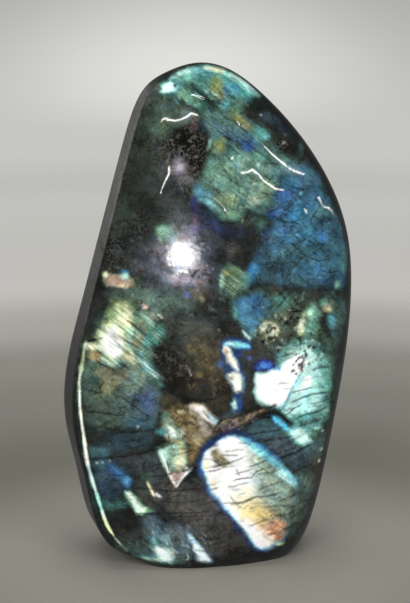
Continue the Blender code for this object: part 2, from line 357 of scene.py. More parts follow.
class Surface:
    """The places that are painted together, with their colour and their marks."""

    def __init__(self, x, z, body):
        self.x, self.z = x, z
        self.colour = np.tile(linear(body), (len(x), 1))
        self.crack, self.lace, self.comb, self.dull, self.painted_glint = np.zeros((5, len(x)))
        self.sink, self.move_x, self.move_z = np.zeros((3, len(x)))
        along = x * math.cos(COMB_TURN) + z * math.sin(COMB_TURN)
        over = z * math.cos(COMB_TURN) - x * math.sin(COMB_TURN)
        self.ragged = cloud(x, z, 3.0, 1, 4)
        self.combed = cloud(along / 6, over, 1.1, 11, 2)
        self.drift = cloud(x, z, 9.0, 5, 2)

    def near(self, points, margin):
        """Which places lie in a box round the points."""
        low, high = np.min(points, axis=0) - margin, np.max(points, axis=0) + margin
        return (self.x > low[0]) & (self.x < high[0]) & (self.z > low[1]) & (self.z < high[1])

    def lay(self, where, colour, cover):
        """Covers places with a colour, each as far as its cover says."""
        self.colour[where] += cover[:, None] * (colour - self.colour[where])

    def spot(self, x, z, wide, high, turn, sway_x, sway_z):
        """The places near an oval spot, and for each 1 in its middle falling to 0 at its two radii."""
        where = self.near([(x, z)], 1.3 * max(wide, high))
        angle = math.radians(turn)
        off_x = self.x[where] - x + wide * sway_x[where]
        off_z = self.z[where] - z + high * sway_z[where]
        u = (off_x * math.cos(angle) + off_z * math.sin(angle)) / wide
        v = (off_z * math.cos(angle) - off_x * math.sin(angle)) / high
        return where, 1.05 - np.hypot(u, v)

    def glow(self, colour, x, z, wide, high, strength=1.0, turn=0.0):
        """A soft spot of colour."""
        sway_x = 0.3 * self.drift + 0.22 * self.ragged
        where, within = self.spot(x, z, wide, high, turn, sway_x, 0.3 * self.ragged + 0.25 * self.combed)
        self.lay(where, linear(colour), strength * smooth(0, 1, within))

    def glows(self, *spots):
        """Soft spots of colour, laid in turn."""
        for spot in spots:
            self.glow(*spot)

    def depth_in(self, where, points):
        """How deep each place lies inside a closed outline; negative outside it."""
        x, z = self.x[where], self.z[where]
        inside = np.zeros(len(x), bool)
        nearest = np.full(len(x), 1e9)
        for (ax, az), (bx, bz) in zip(points, points[1:] + points[:1]):
            along = ((x - ax) * (bx - ax) + (z - az) * (bz - az)) / ((bx - ax) ** 2 + (bz - az) ** 2)
            along = np.clip(along, 0, 1)
            nearest = np.minimum(nearest, np.hypot(x - ax - along * (bx - ax), z - az - along * (bz - az)))
            if az != bz:
                inside ^= ((az > z) != (bz > z)) & (x < ax + (z - az) * (bx - ax) / (bz - az))
        return np.where(inside, nearest, -nearest)

    def depth_along(self, where, points, widths):
        """How deep each place lies inside a drawn line whose width changes from point to point."""
        x, z = self.x[where], self.z[where]
        best = np.full(len(x), -1e9)
        for (ax, az), (bx, bz), start, end in zip(points, points[1:], widths, widths[1:]):
            along = ((x - ax) * (bx - ax) + (z - az) * (bz - az)) / ((bx - ax) ** 2 + (bz - az) ** 2)
            along = np.clip(along, 0, 1)
            off = np.hypot(x - ax - along * (bx - ax), z - az - along * (bz - az))
            best = np.maximum(best, 0.5 * (start + along * (end - start)) - off)
        return best

    def flash(
        self, core, fringe, points, fringe_wide=1.5, soft=0.5, rag=0.7, strength=1.0, comb=0.0, fade=None
    ):
        """A flash with an outline: ragged and combed at the edge, and another colour towards it.

        It can fade out towards a line, given as two places on it and how far from it the fading starts.
        """
        where = self.near(points, 2 + 2 * soft + rag)
        depth = self.depth_in(where, points) + rag * (0.8 * self.ragged[where] + 0.7 * self.combed[where])
        share = smooth(0, fringe_wide, depth)[:, None]
        cover = strength * smooth(-soft, soft, depth)
        if fade:
            (ax, az), (bx, bz), wide = fade
            left = (bx - ax) * (self.z[where] - az) - (bz - az) * (self.x[where] - ax)
            away = left / math.hypot(bx - ax, bz - az)
            away += 0.12 * wide * (self.ragged[where] + self.combed[where])
            cover = cover * smooth(0, wide, away)
        self.lay(where, linear(fringe) + share * (linear(core) - linear(fringe)), cover)
        self.comb[where] = np.maximum(self.comb[where], comb * cover)

    def line(self, colour, points, widths, soft=0.25, rag=0.15, strength=1.0):
        """A drawn line, as wide at each point as the widths say."""
        if not isinstance(widths, (list, tuple)):
            widths = [widths] * len(points)
        where = self.near(points, 1 + max(widths))
        depth = self.depth_along(where, points, widths) + rag * self.ragged[where]
        self.lay(where, linear(colour), strength * smooth(-soft, soft, depth))

    def lines(self, *drawn):
        """Drawn lines, laid in turn."""
        for line in drawn:
            self.line(*line)

    def lace_over(self, x, z, wide, high, strength=1.0, turn=0.0):
        """A soft spot where the rock is broken into a net of fine pale threads."""
        where, within = self.spot(x, z, wide, high, turn, 0.3 * self.ragged, 0.3 * self.drift)
        self.lace[where] = np.maximum(self.lace[where], strength * smooth(0, 0.7, within))

    def pit_over(self, x, z, wide, high, strength=1.0, turn=0.0):
        """A soft spot peppered with small black pits."""
        where, within = self.spot(x, z, wide, high, turn, 0 * self.x, 0 * self.z)
        cover = strength * smooth(0, 0.8, within)
        speck = cloud(self.x[where], self.z[where], 1.0, 41, 2)
        dark = smooth(0.62 - 0.55 * cover, 0.74 - 0.5 * cover, speck) * (cover > 0.02)
        self.crack[where] = np.maximum(self.crack[where], 0.9 * dark)

    def strokes(self, x, z, wide, high, count, tones, lean, seed, long=0.8, strength=0.6, loose=0.35):
        """Short fine strokes strewn over a spot, most of them leaning one way, as where layers break off or,
        round the sparkle, as painted glints.
        """
        chance = np.random.default_rng(seed)
        for _ in range(count):
            away, bearing = math.sqrt(chance.random()), chance.uniform(0, 2 * math.pi)
            middle_x = x + wide * away * math.cos(bearing)
            middle_z = z + high * away * math.sin(bearing)
            reach = long * chance.uniform(0.4, 1.5)
            way = math.radians(lean) + chance.normal(0, loose)
            off_x, off_z = reach * math.cos(way), reach * math.sin(way)
            tone = tones[int(chance.integers(len(tones)))]
            start, end = (middle_x - off_x, middle_z - off_z), (middle_x + off_x, middle_z + off_z)
            fading = strength * (1 - 0.6 * away**3)
            self.line(tone, [start, (middle_x, middle_z), end], [0.1, 0.45, 0.1], 0.3, 0.3, fading)


on_face = np.where((roundness < 1.25) & (facing[:, 1] < 0.35))[0]
face = Surface(at[on_face, 0], at[on_face, 2], "#1f211e")
# The face's dark body, region by region: first the left and the middle.
face.glows(
    ("#2b332c", -22, 140, 16, 22, 0.8), ("#43574b", -15, 144, 9, 7, 0.9), ("#42504a", -16, 150, 8, 7, 0.9),
    ("#5c6a64", -9, 145.4, 6, 3.6, 0.85), ("#4c5856", -18, 155, 5, 4, 0.8), ("#34403a", 20, 149, 5, 4, 0.8),
    ("#3a403e", -14, 124, 12, 14, 0.8), ("#464c4e", -11, 114.5, 7, 5, 0.8),
    ("#2c382f", -29, 115, 5, 8, 0.8), ("#242822", -27, 104, 10, 14, 0.8),
    ("#4a505c", -14, 98, 13, 10, 0.95), ("#4d5a5c", -20, 92, 10, 7, 0.8), ("#2f383f", -2, 105, 12, 10, 0.8),
    ("#56695f", -15, 88, 10, 7, 0.95), ("#5f7a66", -30, 88, 5, 4, 0.8), ("#546c62", -21, 89.4, 5, 4, 0.8),
    ("#454c46", -8, 80, 14, 9, 0.9), ("#65786a", -22, 85, 7, 5, 0.9), ("#222725", -1, 85, 7, 6, 0.9),
    ("#5a5545", -6, 91, 5, 5, 0.9), ("#303838", 0, 92, 4, 6, 0.8), ("#27363c", 2, 114, 12, 6, 0.9),
    ("#2e3c5c", -3, 112.5, 6, 3.5, 0.95), ("#32466a", 2, 116, 6, 2.5, 0.7), ("#262a28", 5, 105, 12, 8, 0.9),
    ("#3c3936", 5.5, 104, 3, 3, 0.6), ("#504b3d", -5, 72, 9, 9), ("#57503c", -2, 67, 7, 7, 0.9),
    ("#302c28", -9, 61, 9, 6, 0.9), ("#26251f", -13, 66, 8, 9, 0.9), ("#332f24", 2, 58, 8, 6, 0.9),
    ("#4a3f2c", 3, 63, 3, 4, 0.8), ("#3a3733", 10, 60, 4, 9, 0.9), ("#3f3d36", 2, 77, 9, 5, 0.9),
    ("#373c3c", 14, 70, 9, 7, 0.95), ("#4a4238", 10, 73, 5, 4, 0.6),
)
# Lower left.
face.glows(
    ("#2c3b42", -27, 45, 12, 5), ("#3c5a5e", -37, 40, 6, 3), ("#30424c", -30, 42, 8, 3, 0.9),
    ("#34495a", -35, 33, 8, 7), ("#3b5f64", -36, 35.5, 6, 2.5, 0.8), ("#2d3d4c", -36, 27, 8, 4, 0.9),
    ("#3a6360", -35, 22.5, 7, 3.2), ("#3b4244", -24, 37, 9, 5), ("#45504e", -20, 33, 7, 8, 0.9),
    ("#3c4540", -24, 27, 6, 6, 0.8), ("#565552", -12, 25, 12, 8), ("#52504d", -4, 22, 12, 12),
    ("#4c4a48", -2, 14, 12, 8), ("#232525", -30, 17, 8, 2.6, 0.95), ("#222424", -33, 13, 6, 4, 0.9),
    ("#343c3c", -28, 10, 7, 5, 0.9), ("#39504a", -29, 6, 8, 5, 0.9), ("#4d5d68", -21, 16, 7, 4, 0.95),
    ("#5c7c88", -18, 11, 8, 6, 0.95), ("#6e8e92", -15, 6.4, 7, 4.6, 0.9), ("#5e6e74", -4, 6, 6, 4, 0.8),
    ("#58626a", -13, 12, 7, 6, 0.95), ("#5a6a70", -12, 7, 5, 5, 0.95), ("#3a3836", 3, 9, 12, 7),
    ("#232221", 8, 3, 14, 4),
)
# Right.
face.glows(
    ("#2c3a33", 38, 60, 7, 22), ("#3c5045", 35, 74, 6, 6, 0.9), ("#2b3036", 40, 68, 4, 8, 0.8),
    ("#48604f", 33, 42, 7, 7, 0.8), ("#42525c", 26, 36, 10, 5), ("#45505a", 19, 41, 8, 4),
    ("#44606a", 15, 45.4, 9.6, 4.4), ("#5a5f60", 4, 49.6, 6, 4.4, 0.9),
    ("#5c9494", 27, 47.6, 8.5, 4.6, 0.95), ("#9ad8d4", 27.6, 47.8, 5, 2.6, 0.9),
    ("#4e6468", 30, 40, 8, 4, 0.9), ("#48707a", 16, 48.5, 5, 2, 0.8), ("#46544a", 33, 35, 5, 5, 0.9),
    ("#3c3a32", 34, 28, 5, 8), ("#5d7268", 27, 25, 8, 8), ("#5a6a5a", 25, 18, 7, 6),
    ("#424f46", 30, 16, 6, 6, 0.9), ("#2d302b", 29, 8, 8, 6), ("#3f4442", 31, 22, 4, 4, 0.7),
)
# The upper right sheet: one flash that the crown, the slate band and the sea-green field lie on.
face.flash("#4a6a62", "#27332f", [
    (-12,158.6), (-6,160.8), (2,161), (9,157.8), (16,152), (12,149.6), (10,147), (11,145),
    (16,143), (19,140.6), (19,138.4), (22,135), (27.6,131.6), (29,128), (25,122), (20,115.6),
    (15,114), (12,112.6), (8.6,112), (4.6,112.4), (0.6,114), (-2.4,116.6), (-5,121), (-5.4,127),
    (-3.4,131.6), (-1.8,135), (-1.6,139), (-3,143), (-6,147.6), (-9,149.6), (-13,151.6), (-16,154),
], 2.4, 1.2, 1, comb=0.45)
# The crown.
face.glows(
    ("#4f8c84", 0, 157.4, 11, 4.6, 0.9), ("#5a8a80", -9, 156, 5, 3.4, 0.8),
    ("#79c4b0", -8.6, 157.8, 4.6, 1.8, 0.95, -20), ("#6cc8cc", -3.4, 159.6, 4.6, 1.3, 0.9),
    ("#dfe8c8", 1.8, 159.4, 4, 1, 0.95, -6), ("#2c4842", -5.6, 155.6, 4.6, 1.6, 0.7, -38),
    ("#828c56", 1.4, 155, 3.4, 4, 0.95), ("#8c9064", 3, 152, 3, 2.6, 0.7),
    ("#4690a0", 7, 153.6, 4.8, 3.6, 0.95), ("#3f6f90", 4.6, 152.8, 2.2, 2.2, 0.8),
    ("#4f9a94", 11.4, 152.6, 4, 3, 0.9, -30), ("#58a0b0", 4, 149, 2.2, 2.2, 0.9),
)
face.lines(
    ("#8cd8d0", [(4,158.8), (8,156.8), (11.6,154.2), (15.6,151.4)], [1, 2.2, 2.6, 1.2], 0.6, 0.3, 0.9),
    ("#d8fff6", [(6.4,158), (9.6,156.2), (12.4,153.9), (15,151.8)], [0.5, 1.2, 1.5, 0.7], 0.4, 0.2),
)
face.glows(
    ("#5e9486", -8.4, 152, 4.6, 2.6, 0.9, -30), ("#84c0a0", -8, 151.4, 2.4, 1.2, 0.7, -40),
    ("#6ca88c", -3.2, 148.6, 2.6, 2.4, 0.95),
)
face.flash("#18241f", "#263a34", [
    (-9.6,156), (-6,155.2), (-3,153.6), (-0.6,151.4), (1.4,149), (1.6,146.6), (-0.6,146.6),
    (-1.2,149), (-3.6,151.4), (-6.6,153.2), (-9.8,154.6),
], 1, 0.9, 0.8, 0.75)
face.flash("#6f9f88", "#3c5c50", [
    (-12,154.4), (-8.6,153.6), (-5.6,151.8), (-3.4,149.8), (-2.8,147.2), (-4.6,147), (-6.4,148.8),
    (-9.4,150.4), (-11.6,151.8),
], 1.4, 0.9, 1.3, 0.9, comb=0.5)
face.flash("#d8fff8", "#4c9c98", [
    (-16.6,152.6), (-15.6,155.2), (-13,156.6), (-10.8,156.2), (-9.8,154.6), (-10.8,153.2),
    (-12.6,152.4), (-14.8,151.8),
], 1.1, 0.6, 0.6)
face.lines(
    ("#9cdcd4", [(-12.6,156.6), (-9.6,158.2), (-5.6,159.5), (-1,160.2), (2,160)],
     [0.4, 1.3, 1.6, 1.2, 0.5], 0.6, 0.5, 0.85),
    ("#e4fff4", [(-11.6,157.4), (-9,158.4), (-6.4,159.2)], [0.3, 0.8, 0.3], 0.4, 0.4, 0.9),
    ("#f0f4d4", [(-1.6,159.9), (1.6,159.8), (5,158.9)], [0.3, 0.9, 0.3], 0.4, 0.3, 0.8),
    ("#84c8b4", [(-10.6,156.8), (-7,156.6), (-3.6,155.4)], [0.3, 0.9, 0.3], 0.6, 0.5, 0.7),
)
face.glows(
    ("#081210", -11.6, 154.8, 1.1, 1.2), ("#5c8478", -14, 151.4, 3.4, 1.2, 0.7, -10),
)
# The dark corner and slate rim, right of the crown.
face.glows(
    ("#141917", 14.4, 147.6, 5.6, 3.6, 0.95), ("#1c2422", 18.6, 149.4, 4, 3, 0.7),
    ("#33444c", 19.4, 144.4, 6, 2.6, 0.9, -30), ("#223038", 24, 141, 5, 3, 0.8, -40),
    ("#1b1d1a", 22.4, 137.4, 5.6, 3.8, 1, -35), ("#1f2624", 27, 133, 4, 4, 0.9),
    ("#4a6862", 28.6, 134.6, 1.6, 3.4, 0.8, -20),
)
# The slate band with its gold streak.
face.glows(
    ("#43606a", 2, 141.6, 7, 4, 0.9, -30), ("#3c5560", 8, 139.6, 6, 4, 0.9, -20),
    ("#30485a", 5, 138.6, 4, 3, 0.7), ("#2c4c84", 12, 136.4, 4.4, 4, 0.95),
    ("#22303a", 8.4, 136.2, 2.4, 2.4, 0.7), ("#4c6c54", 6.8, 147.4, 4, 2.4, 0.9),
    ("#7c7c4c", 8.6, 144.4, 5, 1.9, 0.95, -26), ("#8c8450", 11, 142.2, 3, 1.4, 0.8, -30),
    ("#4f8c84", 15.2, 139.8, 3.4, 2.6, 0.95, -35), ("#78c4bc", 16.8, 138.8, 1.6, 1.4, 0.7, -35),
)
# The sea-green field.
face.glows(
    ("#5f8474", 8, 126, 13, 10, 0.95), ("#6c8c7c", 12, 126, 9, 8, 0.8), ("#6f9484", 2, 126, 6, 8, 0.8),
    ("#7a8a66", 4, 119.6, 5, 4, 0.85), ("#8c9658", 1.8, 136.4, 2.8, 3.4, 0.95),
    ("#9cc4b4", -1.4, 136.8, 0.9, 3, 0.8, -20), ("#86a28c", 14, 122, 5, 4, 0.8),
    ("#9cb0a4", 12.6, 119.6, 3.4, 2.6, 0.8), ("#6b9088", 17, 129, 5, 3.4, 0.8),
    ("#7ca09c", 8, 130, 5, 3, 0.7), ("#5a8c98", 20.4, 127, 3, 4, 0.8),
    ("#50927c", 15.4, 133, 4, 1.8, 0.6, -20), ("#5c94a8", -3.2, 121, 3.2, 5.4, 0.95, 25),
    ("#79b4bc", -1.6, 118.8, 2, 3.4, 0.7, 25), ("#6c9478", 4.4, 114.8, 4.4, 1.8, 0.9),
)
face.flash("#23283f", "#2a3340", [
    (-8,120), (-6.4,118), (-4,115.6), (-1,113.2), (2,111.8), (6,111), (9,111.4), (9,109),
    (5,107.6), (0,108.4), (-4,110.4), (-7.4,114),
], 1.4, 1.1, 0.8, 0.85)
face.glows(
    ("#2c2c60", -6.2, 118.4, 1.6, 3.6, 0.8, 20), ("#2a3050", -1, 111.4, 5, 1.6, 0.8, -20),
)
face.flash("#2c3029", "#3f4c42", [
    (8,119.6), (9.4,118), (11.4,117.2), (13,115.4), (11.6,113), (10,111.6), (8.4,113.4),
    (8.8,116.6),
], 1.2, 0.8, 0.8, 0.85)
face.glow("#3f5c54", 15, 112, 4, 3.4, 0.8)
# The black oval, broken into lace, and lace elsewhere.
face.flash("#141312", "#22231f", [
    (-14.5,140), (-11,142.4), (-7,143.4), (-4,141.5), (-2.2,138.4), (-1.9,134.5), (-3,130.5),
    (-5,127.6), (-8,129.6), (-12,130.5), (-15,133),
], 1.5, 1.2, 1, fade=((-17.5,145), (-17.5,125), 9))
face.glows(
    ("#0c0b0a", -7.4, 137, 4.4, 3.4, 0.9), ("#43383a", -6, 142.4, 2.6, 2.6, 0.8),
    ("#5c5c58", -5.4, 145, 2.6, 1.6, 0.7),
)
for spot in (
    (-14.6, 136.6, 5, 4.6, 0.7), (-4.6, 135.6, 2.8, 6.4, 0.75), (-11, 133.4, 6.4, 3, 0.75),
    (-18.4, 138, 4, 3, 0.3), (-7, 142.6, 3.4, 3, 0.8), (-8.4, 124.4, 4.4, 4, 1), (-31, 104, 4.6, 15, 0.45),
    (-24, 112, 5, 6, 0.3), (5.4, 105, 2.8, 2.8, 0.8), (22, 136.6, 3.6, 2.6, 0.7, -35),
):
    face.lace_over(*spot)
# Painted reflection: the lilac gloss of the polish below the oval.
face.glows(
    ("#4c484c", -11, 129.6, 6.6, 4.6, 0.9), ("#7c7680", -11.4, 130, 4.4, 3.6, 0.9),
    ("#a8a0ac", -11, 129.8, 2.2, 1.5, 0.7),
)
face.lace_over(-6.6, 127.4, 3.4, 4, 1)
face.glows(
    ("#5e5a5c", -8, 126, 4, 3, 0.8), ("#34363a", -11.5, 123, 5, 4.4, 0.8),
)
# The blue field.
face.flash("#2c5870", "#26383e", [
    (19,122), (21,127.5), (25,130.6), (30,131), (34,126.5), (38,120), (41,113.5), (43.5,107),
    (44.6,100), (44.3,92), (42,88.8), (38.5,90), (35,90.3), (30,90.6), (26,91.2), (22,92.2),
    (18,93.6), (14,95.5), (11,92), (9.5,94), (10.5,99.5), (13,103.5), (14.5,107.5), (15.5,111),
    (17.5,114), (19,118),
], 2.2, 1.19, 1.2, comb=0.3)
face.glows(
    ("#3c6fb4", 22.5, 120, 4.6, 4.2), ("#3a6db2", 21, 115.5, 5, 2.8, 0.95),
    ("#2f7fb4", 25.5, 124.5, 3.6, 3, 0.8), ("#2f86b8", 27, 115, 4.4, 4.2, 0.95),
    ("#386a94", 31.5, 118.5, 4, 4, 0.8), ("#3c5c70", 30, 126, 7, 5, 0.9),
    ("#4c6c7c", 25.4, 129, 4, 3, 0.85), ("#46706c", 35, 115.4, 3.6, 3.4, 0.85),
    ("#3d5a50", 35, 113.4, 3, 1.5, 0.6), ("#3787a8", 30.5, 108.4, 3.4, 4.6, 0.95),
    ("#2f70b4", 34.4, 107.6, 2.8, 3.6, 0.95), ("#3a6296", 22.5, 110, 5, 2.6, 0.9),
    ("#306688", 24.5, 106.6, 4, 2.4, 0.8), ("#46707a", 24, 102.4, 7, 4.4, 0.95),
    ("#3c5e6c", 22, 97.6, 7, 4, 0.8), ("#3c7480", 31.5, 103, 3.4, 2.6, 0.7),
    ("#24384c", 38.6, 108, 3.4, 6, 0.95), ("#2b5068", 37.5, 101.5, 3.4, 3, 0.8),
    ("#2f70a4", 32, 96.6, 3.4, 3, 0.95), ("#27508f", 34.6, 93.2, 2.6, 2.4, 0.95),
    ("#4f90a8", 30.6, 99, 1.8, 1.8, 0.5), ("#30606c", 28.6, 97, 2.2, 2.4, 0.8),
    ("#355a48", 26.6, 93.6, 2.8, 2.2, 0.9), ("#2a4454", 22.5, 95.5, 5.4, 3.6, 0.9),
    ("#263a4c", 18, 98.5, 4, 4.4, 0.85), ("#2a3352", 16.6, 107, 3.4, 4.6, 0.9),
    ("#2b4a68", 13.8, 101, 2.4, 4, 0.7), ("#2f78ac", 12.2, 97, 2.4, 5, 0.95),
    ("#253044", 16.5, 102.5, 2.6, 2.2, 0.8), ("#1f2a30", 14.6, 92.3, 4, 2.8),
    ("#4c8274", 42, 99, 2.4, 6, 0.95), ("#3b6478", 39.4, 96.5, 2.4, 2.4, 0.8),
    ("#8cc0a8", 39.6, 91.8, 1.9, 1.7), ("#5a8a7c", 37.4, 89, 1.6, 1.6, 0.7),
)
face.flash("#44626a", "#2c3c40", [
    (19,122), (24,130), (32,130), (38,120), (43,108), (44.6,100), (44,92), (35,90.3), (26,91.2),
    (16,94), (11,92), (10.5,99.5), (14.5,107.5), (17.5,114),
], 2.2, 1.6, 1.2, 0.36)
face.glows(
    ("#2c4450", 25, 97, 13, 6, 0.5), ("#24343c", 34, 92, 8, 3, 0.6), ("#6a9098", 25, 128.4, 4, 2.6, 0.7),
)
# Below the blue field: brown-black, then broken green and cream rock with pits.
face.flash("#33352f", "#2c3430", [
    (12,92), (18,93), (24,91), (29,91), (35,91), (37,88), (36,85), (32,83), (28,85), (22,90),
    (16,90.6),
], 1.4, 1.2, 1, 0.85)
face.flash("#4c5a50", "#33392f", [
    (12.6,84), (14,89.6), (20,91), (25,89.6), (28,86), (30,80), (29,75), (26,71.6), (20,69.6),
    (15,71.6), (12,76),
], 2.4, 1.6, 1.4, comb=0.35)
face.glows(
    ("#4c7870", 20.6, 87, 4.6, 4, 0.9), ("#5c9488", 19.4, 88, 2.2, 2, 0.7),
    ("#6c6c50", 20.6, 82.6, 3, 2.6, 0.8), ("#40382c", 24.4, 80.4, 2.2, 6, 0.95, 32),
    ("#3c342a", 22.6, 76, 3, 4, 0.8, 20),
)
face.flash("#8c9878", "#4c5444", [
    (12.6,82), (14,83.6), (16.4,82.6), (19,81.8), (20.6,79.6), (20.4,76.6), (18.6,74.4),
    (16.4,74.2), (14.4,76), (12.8,78.6),
], 1.8, 1, 1.2, 0.9, comb=0.6)
face.flash("#f4fae8", "#a4b494", [
    (12.8,80.4), (14.4,82.2), (16,81.4), (16.6,79.4), (15.6,77.8), (14,78),
], 0.9, 0.7, 0.9, 0.95, comb=0.5)
face.flash("#e4e8cc", "#98a080", [
    (17.2,80.4), (18.8,80.6), (19.8,78.8), (19.4,76.8), (17.8,75.8), (16.8,77.4),
], 0.9, 0.7, 0.9, 0.9, comb=0.5)
face.glows(
    ("#5a6a72", 20, 72.6, 3.4, 2.2, 0.8), ("#46647c", 20.6, 70.6, 3, 2, 0.85),
)
face.flash("#6a9480", "#405046", [
    (25.4,74.6), (25,79), (26.4,84), (29,87), (32.4,87), (34.6,84), (35,79), (33.4,75), (29.4,73),
], 2.6, 1.8, 1.3, 0.9, comb=0.6)
face.flash("#d0dcb8", "#8c9c78", [
    (25.8,75.4), (25.8,79), (26.8,83), (28.6,84.6), (29.4,82), (28.8,78.4), (28,75.2),
], 1, 0.8, 1, 0.9, comb=0.9)
face.glows(
    ("#f0f4dc", 27.2, 79, 1.1, 3.2, 0.8), ("#90ccb0", 31, 81.6, 2.4, 3.8, 0.9),
    ("#b4e8d0", 30.4, 82.8, 1.3, 2.2, 0.7), ("#70a08c", 30.8, 76.4, 3.4, 2.2, 0.8),
)
face.flash("#3d5450", "#2c3632", [
    (34,88.4), (37,89.6), (41,89), (44,86), (44,78), (42,72), (38,71), (35.6,76), (36,81),
], 2, 1.4, 1.2, comb=0.4)
face.glows(
    ("#84886a", 36.6, 84.8, 2.8, 2.4, 0.95), ("#b4ac84", 37.2, 84.2, 1.4, 1.1, 0.8),
    ("#6c9c84", 35, 86.6, 2, 1.8, 0.8), ("#467c88", 38, 80, 2.6, 3, 0.95),
    ("#68aab0", 37.4, 81, 1.6, 1.4, 0.6),
)
face.line("#1c2422", [(33.6,80.4), (35.4,77.6), (37.6,74.8)], [0.5, 1.8, 0.8], 0.5, 0.4, 0.85)
face.glows(
    ("#2c3834", 41, 75, 2.4, 4, 0.8), ("#3f4c40", 35.4, 72.6, 3, 3.4, 0.9),
)
for spot in (
    (17.4, 76.6, 5, 4.6, 1), (20, 72.6, 3.6, 3.2, 0.8), (24.4, 82.4, 4.6, 4.6, 0.8),
    (27.6, 75.4, 5, 3.6, 0.95), (35.6, 79, 1.6, 5, 0.6, 20),
):
    face.pit_over(*spot)
for start_x, start_z, end_x, end_z in (
    (13, 93.4, 20, 86.4), (17.6, 93, 24.6, 85.4), (22, 91.6, 27.6, 85), (23.6, 90, 17.6, 84),
    (27, 90.4, 20.4, 83.6), (25.4, 84.4, 21.6, 79.4),
):
    middle_x, middle_z = 0.5 * start_x + 0.5 * end_x + 0.3, 0.5 * start_z + 0.5 * end_z
    places = [(start_x, start_z), (middle_x, middle_z), (end_x, end_z)]
    face.line("#141a18", places, [0.2, 0.6, 0.2], 0.3, 0.3, 0.8)
# The striped green and gold patch in the middle.
face.flash("#64806c", "#41584e", [
    (0.6,96), (1.8,98.8), (4.5,99.8), (7.5,98.6), (10,96.8), (10.8,94), (10,91), (8,89.6),
    (5.4,88.7), (3,90.4), (1.1,93),
], 1.8, 1.1, 1, comb=0.8)
face.glows(
    ("#8c905c", 3.6, 97, 2.6, 2, 0.8), ("#5f7c58", 6.6, 97.2, 2.4, 2, 0.8),
    ("#acdcc0", 1.8, 94.2, 1.2, 3.2, 0.9), ("#5c9ca0", 10, 94.6, 2, 3.4, 0.85),
    ("#86a080", 5.6, 92.4, 2.6, 2, 0.7),
)
# The blue patch below it.
face.flash("#3f6884", "#3c5854", [
    (4.8,87.8), (7,90), (11,91.4), (15,91), (17.8,88.6), (18,85), (16,82.3), (14,79.6), (12.4,77),
    (11,75.8), (9.4,77), (7.6,80), (5.8,83),
], 2.6, 1.2, 1.1, comb=0.5)
face.glows(
    ("#3f6a9c", 12.4, 87.4, 4, 3.8, 0.75), ("#3c5c64", 16, 85, 2.6, 3.4, 0.8),
    ("#4a8090", 10, 82.4, 3, 3.4, 0.8), ("#5890b0", 9, 86.4, 3, 2.4, 0.5),
    ("#5c9c90", 6.2, 85.2, 1.2, 3.2, 0.7), ("#6a9ca0", 11, 78.4, 1.8, 2, 0.7),
)
face.line("#c4f0f0", [(8.2,78.8), (9.4,77.4), (10.6,76)], [0.3, 0.7, 0.5], 0.35, 0.2)
# The big aqua flash.
face.flash("#6fa49c", "#34483f", [
    (18,70), (20,73), (24,76), (29,77), (33,75), (36,71.6), (38,67), (39,60), (38.6,53), (37,47),
    (33,42), (29,42), (24,44), (22,47), (24,49), (20,52),
], 2.6, 1.3, 1, comb=0.35)
face.glows(
    ("#4c6c5c", 37, 68, 3, 7, 0.9), ("#5c8c80", 35.6, 50, 4, 4.6, 0.8),
)
face.flash("#c4f2ee", "#6fb0a8", [
    (12.6,65.4), (15,65.5), (18,65.8), (20.4,66.8), (21,70), (24,73), (28.4,74.4), (31.6,72.6),
    (33.4,68.5), (34.6,65), (36,61), (36.2,56.8), (35,53.4), (33,51.4), (30,50.6), (26.6,50.2),
    (24.4,49.3), (22,50.6), (20.3,52), (18.4,53), (15.4,54), (13,55.8), (11.8,59), (12,62.5),
], 2, 0.8, 0.8, comb=0.3)
face.glows(
    ("#a4e4dc", 29.6, 58, 7, 7, 0.9), ("#5c8c80", 36, 60, 2.6, 10, 0.8), ("#78c0b0", 34.4, 60, 3, 5, 0.8),
    ("#b4e0d4", 29.4, 66.4, 5, 4.4, 0.9),
)
face.flash("#ffffff", "#c8ecec", [
    (12.5,65), (16,65.3), (20,66.4), (22,69), (25,71), (28,70), (30,67.6), (28.4,64.5),
    (26.4,61.5), (25,58.5), (23.6,55.6), (21.6,54), (18.2,53.5), (15.2,54.3), (13,56.3), (12,59.4),
    (12,62.6),
], 1.2, 0.7, 0.5)
face.flash("#ffffff", "#c8f4f0", [
    (26.4,61), (28.6,64), (31.6,63.5), (32,61), (30.6,58.8), (27.6,57.6), (25.6,56.8), (25.2,58.6),
], 1.2, 0.8, 0.5, 0.85)
face.glows(
    ("#a0c8bc", 25.6, 71.6, 4, 2.2, 0.85), ("#6ca0a0", 22, 70, 2.6, 2, 0.8),
    ("#b8f4f0", 27.4, 53.8, 4.4, 3, 0.9), ("#d8fcf8", 28.4, 58, 3, 3, 0.7),
    ("#6cc0bc", 27.4, 50, 4.4, 1.8, 0.8), ("#6a9a94", 32, 47.4, 4, 3.4, 0.85),
)
face.line(
    "#7cc4c8", [(27.6,64.4), (25.8,62), (24,58.6), (22.4,55), (21,52)], [0.7, 0.9, 0.8, 1, 0.7], 0.4,
    0.2, 0.9
)
face.glow("#45acb8", 29.4, 56.4, 2, 0.9, 0.9, 12)
for spot in (
    (26.4, 67.4, 3.8, 4.6, 1.2), (31, 71.4, 5, 3.4, 1, -40), (24.4, 72.6, 3, 2, 0.5),
):
    face.pit_over(*spot)
# Violet-blue above that flash.
face.flash("#4a84dc", "#31298c", [
    (11.4,66.4), (12.2,68.2), (14.6,69.2), (17.6,68.8), (18.2,66.6), (15.6,65.6), (12.8,65.6),
], 1.3, 0.68, 0.52, comb=0.3)
face.glow("#68a8ee", 15.4, 67.2, 1.6, 1, 0.8)
face.flash("#55a4cc", "#2f4c70", [
    (18.4,66.4), (19,67.6), (20.6,66.8), (20.4,65.4), (19,65.4),
], 0.6, 0.4, 0.34, 0.9, comb=0.3)
face.glow("#4a56b4", 10.5, 70, 0.9, 0.9, 0.9)
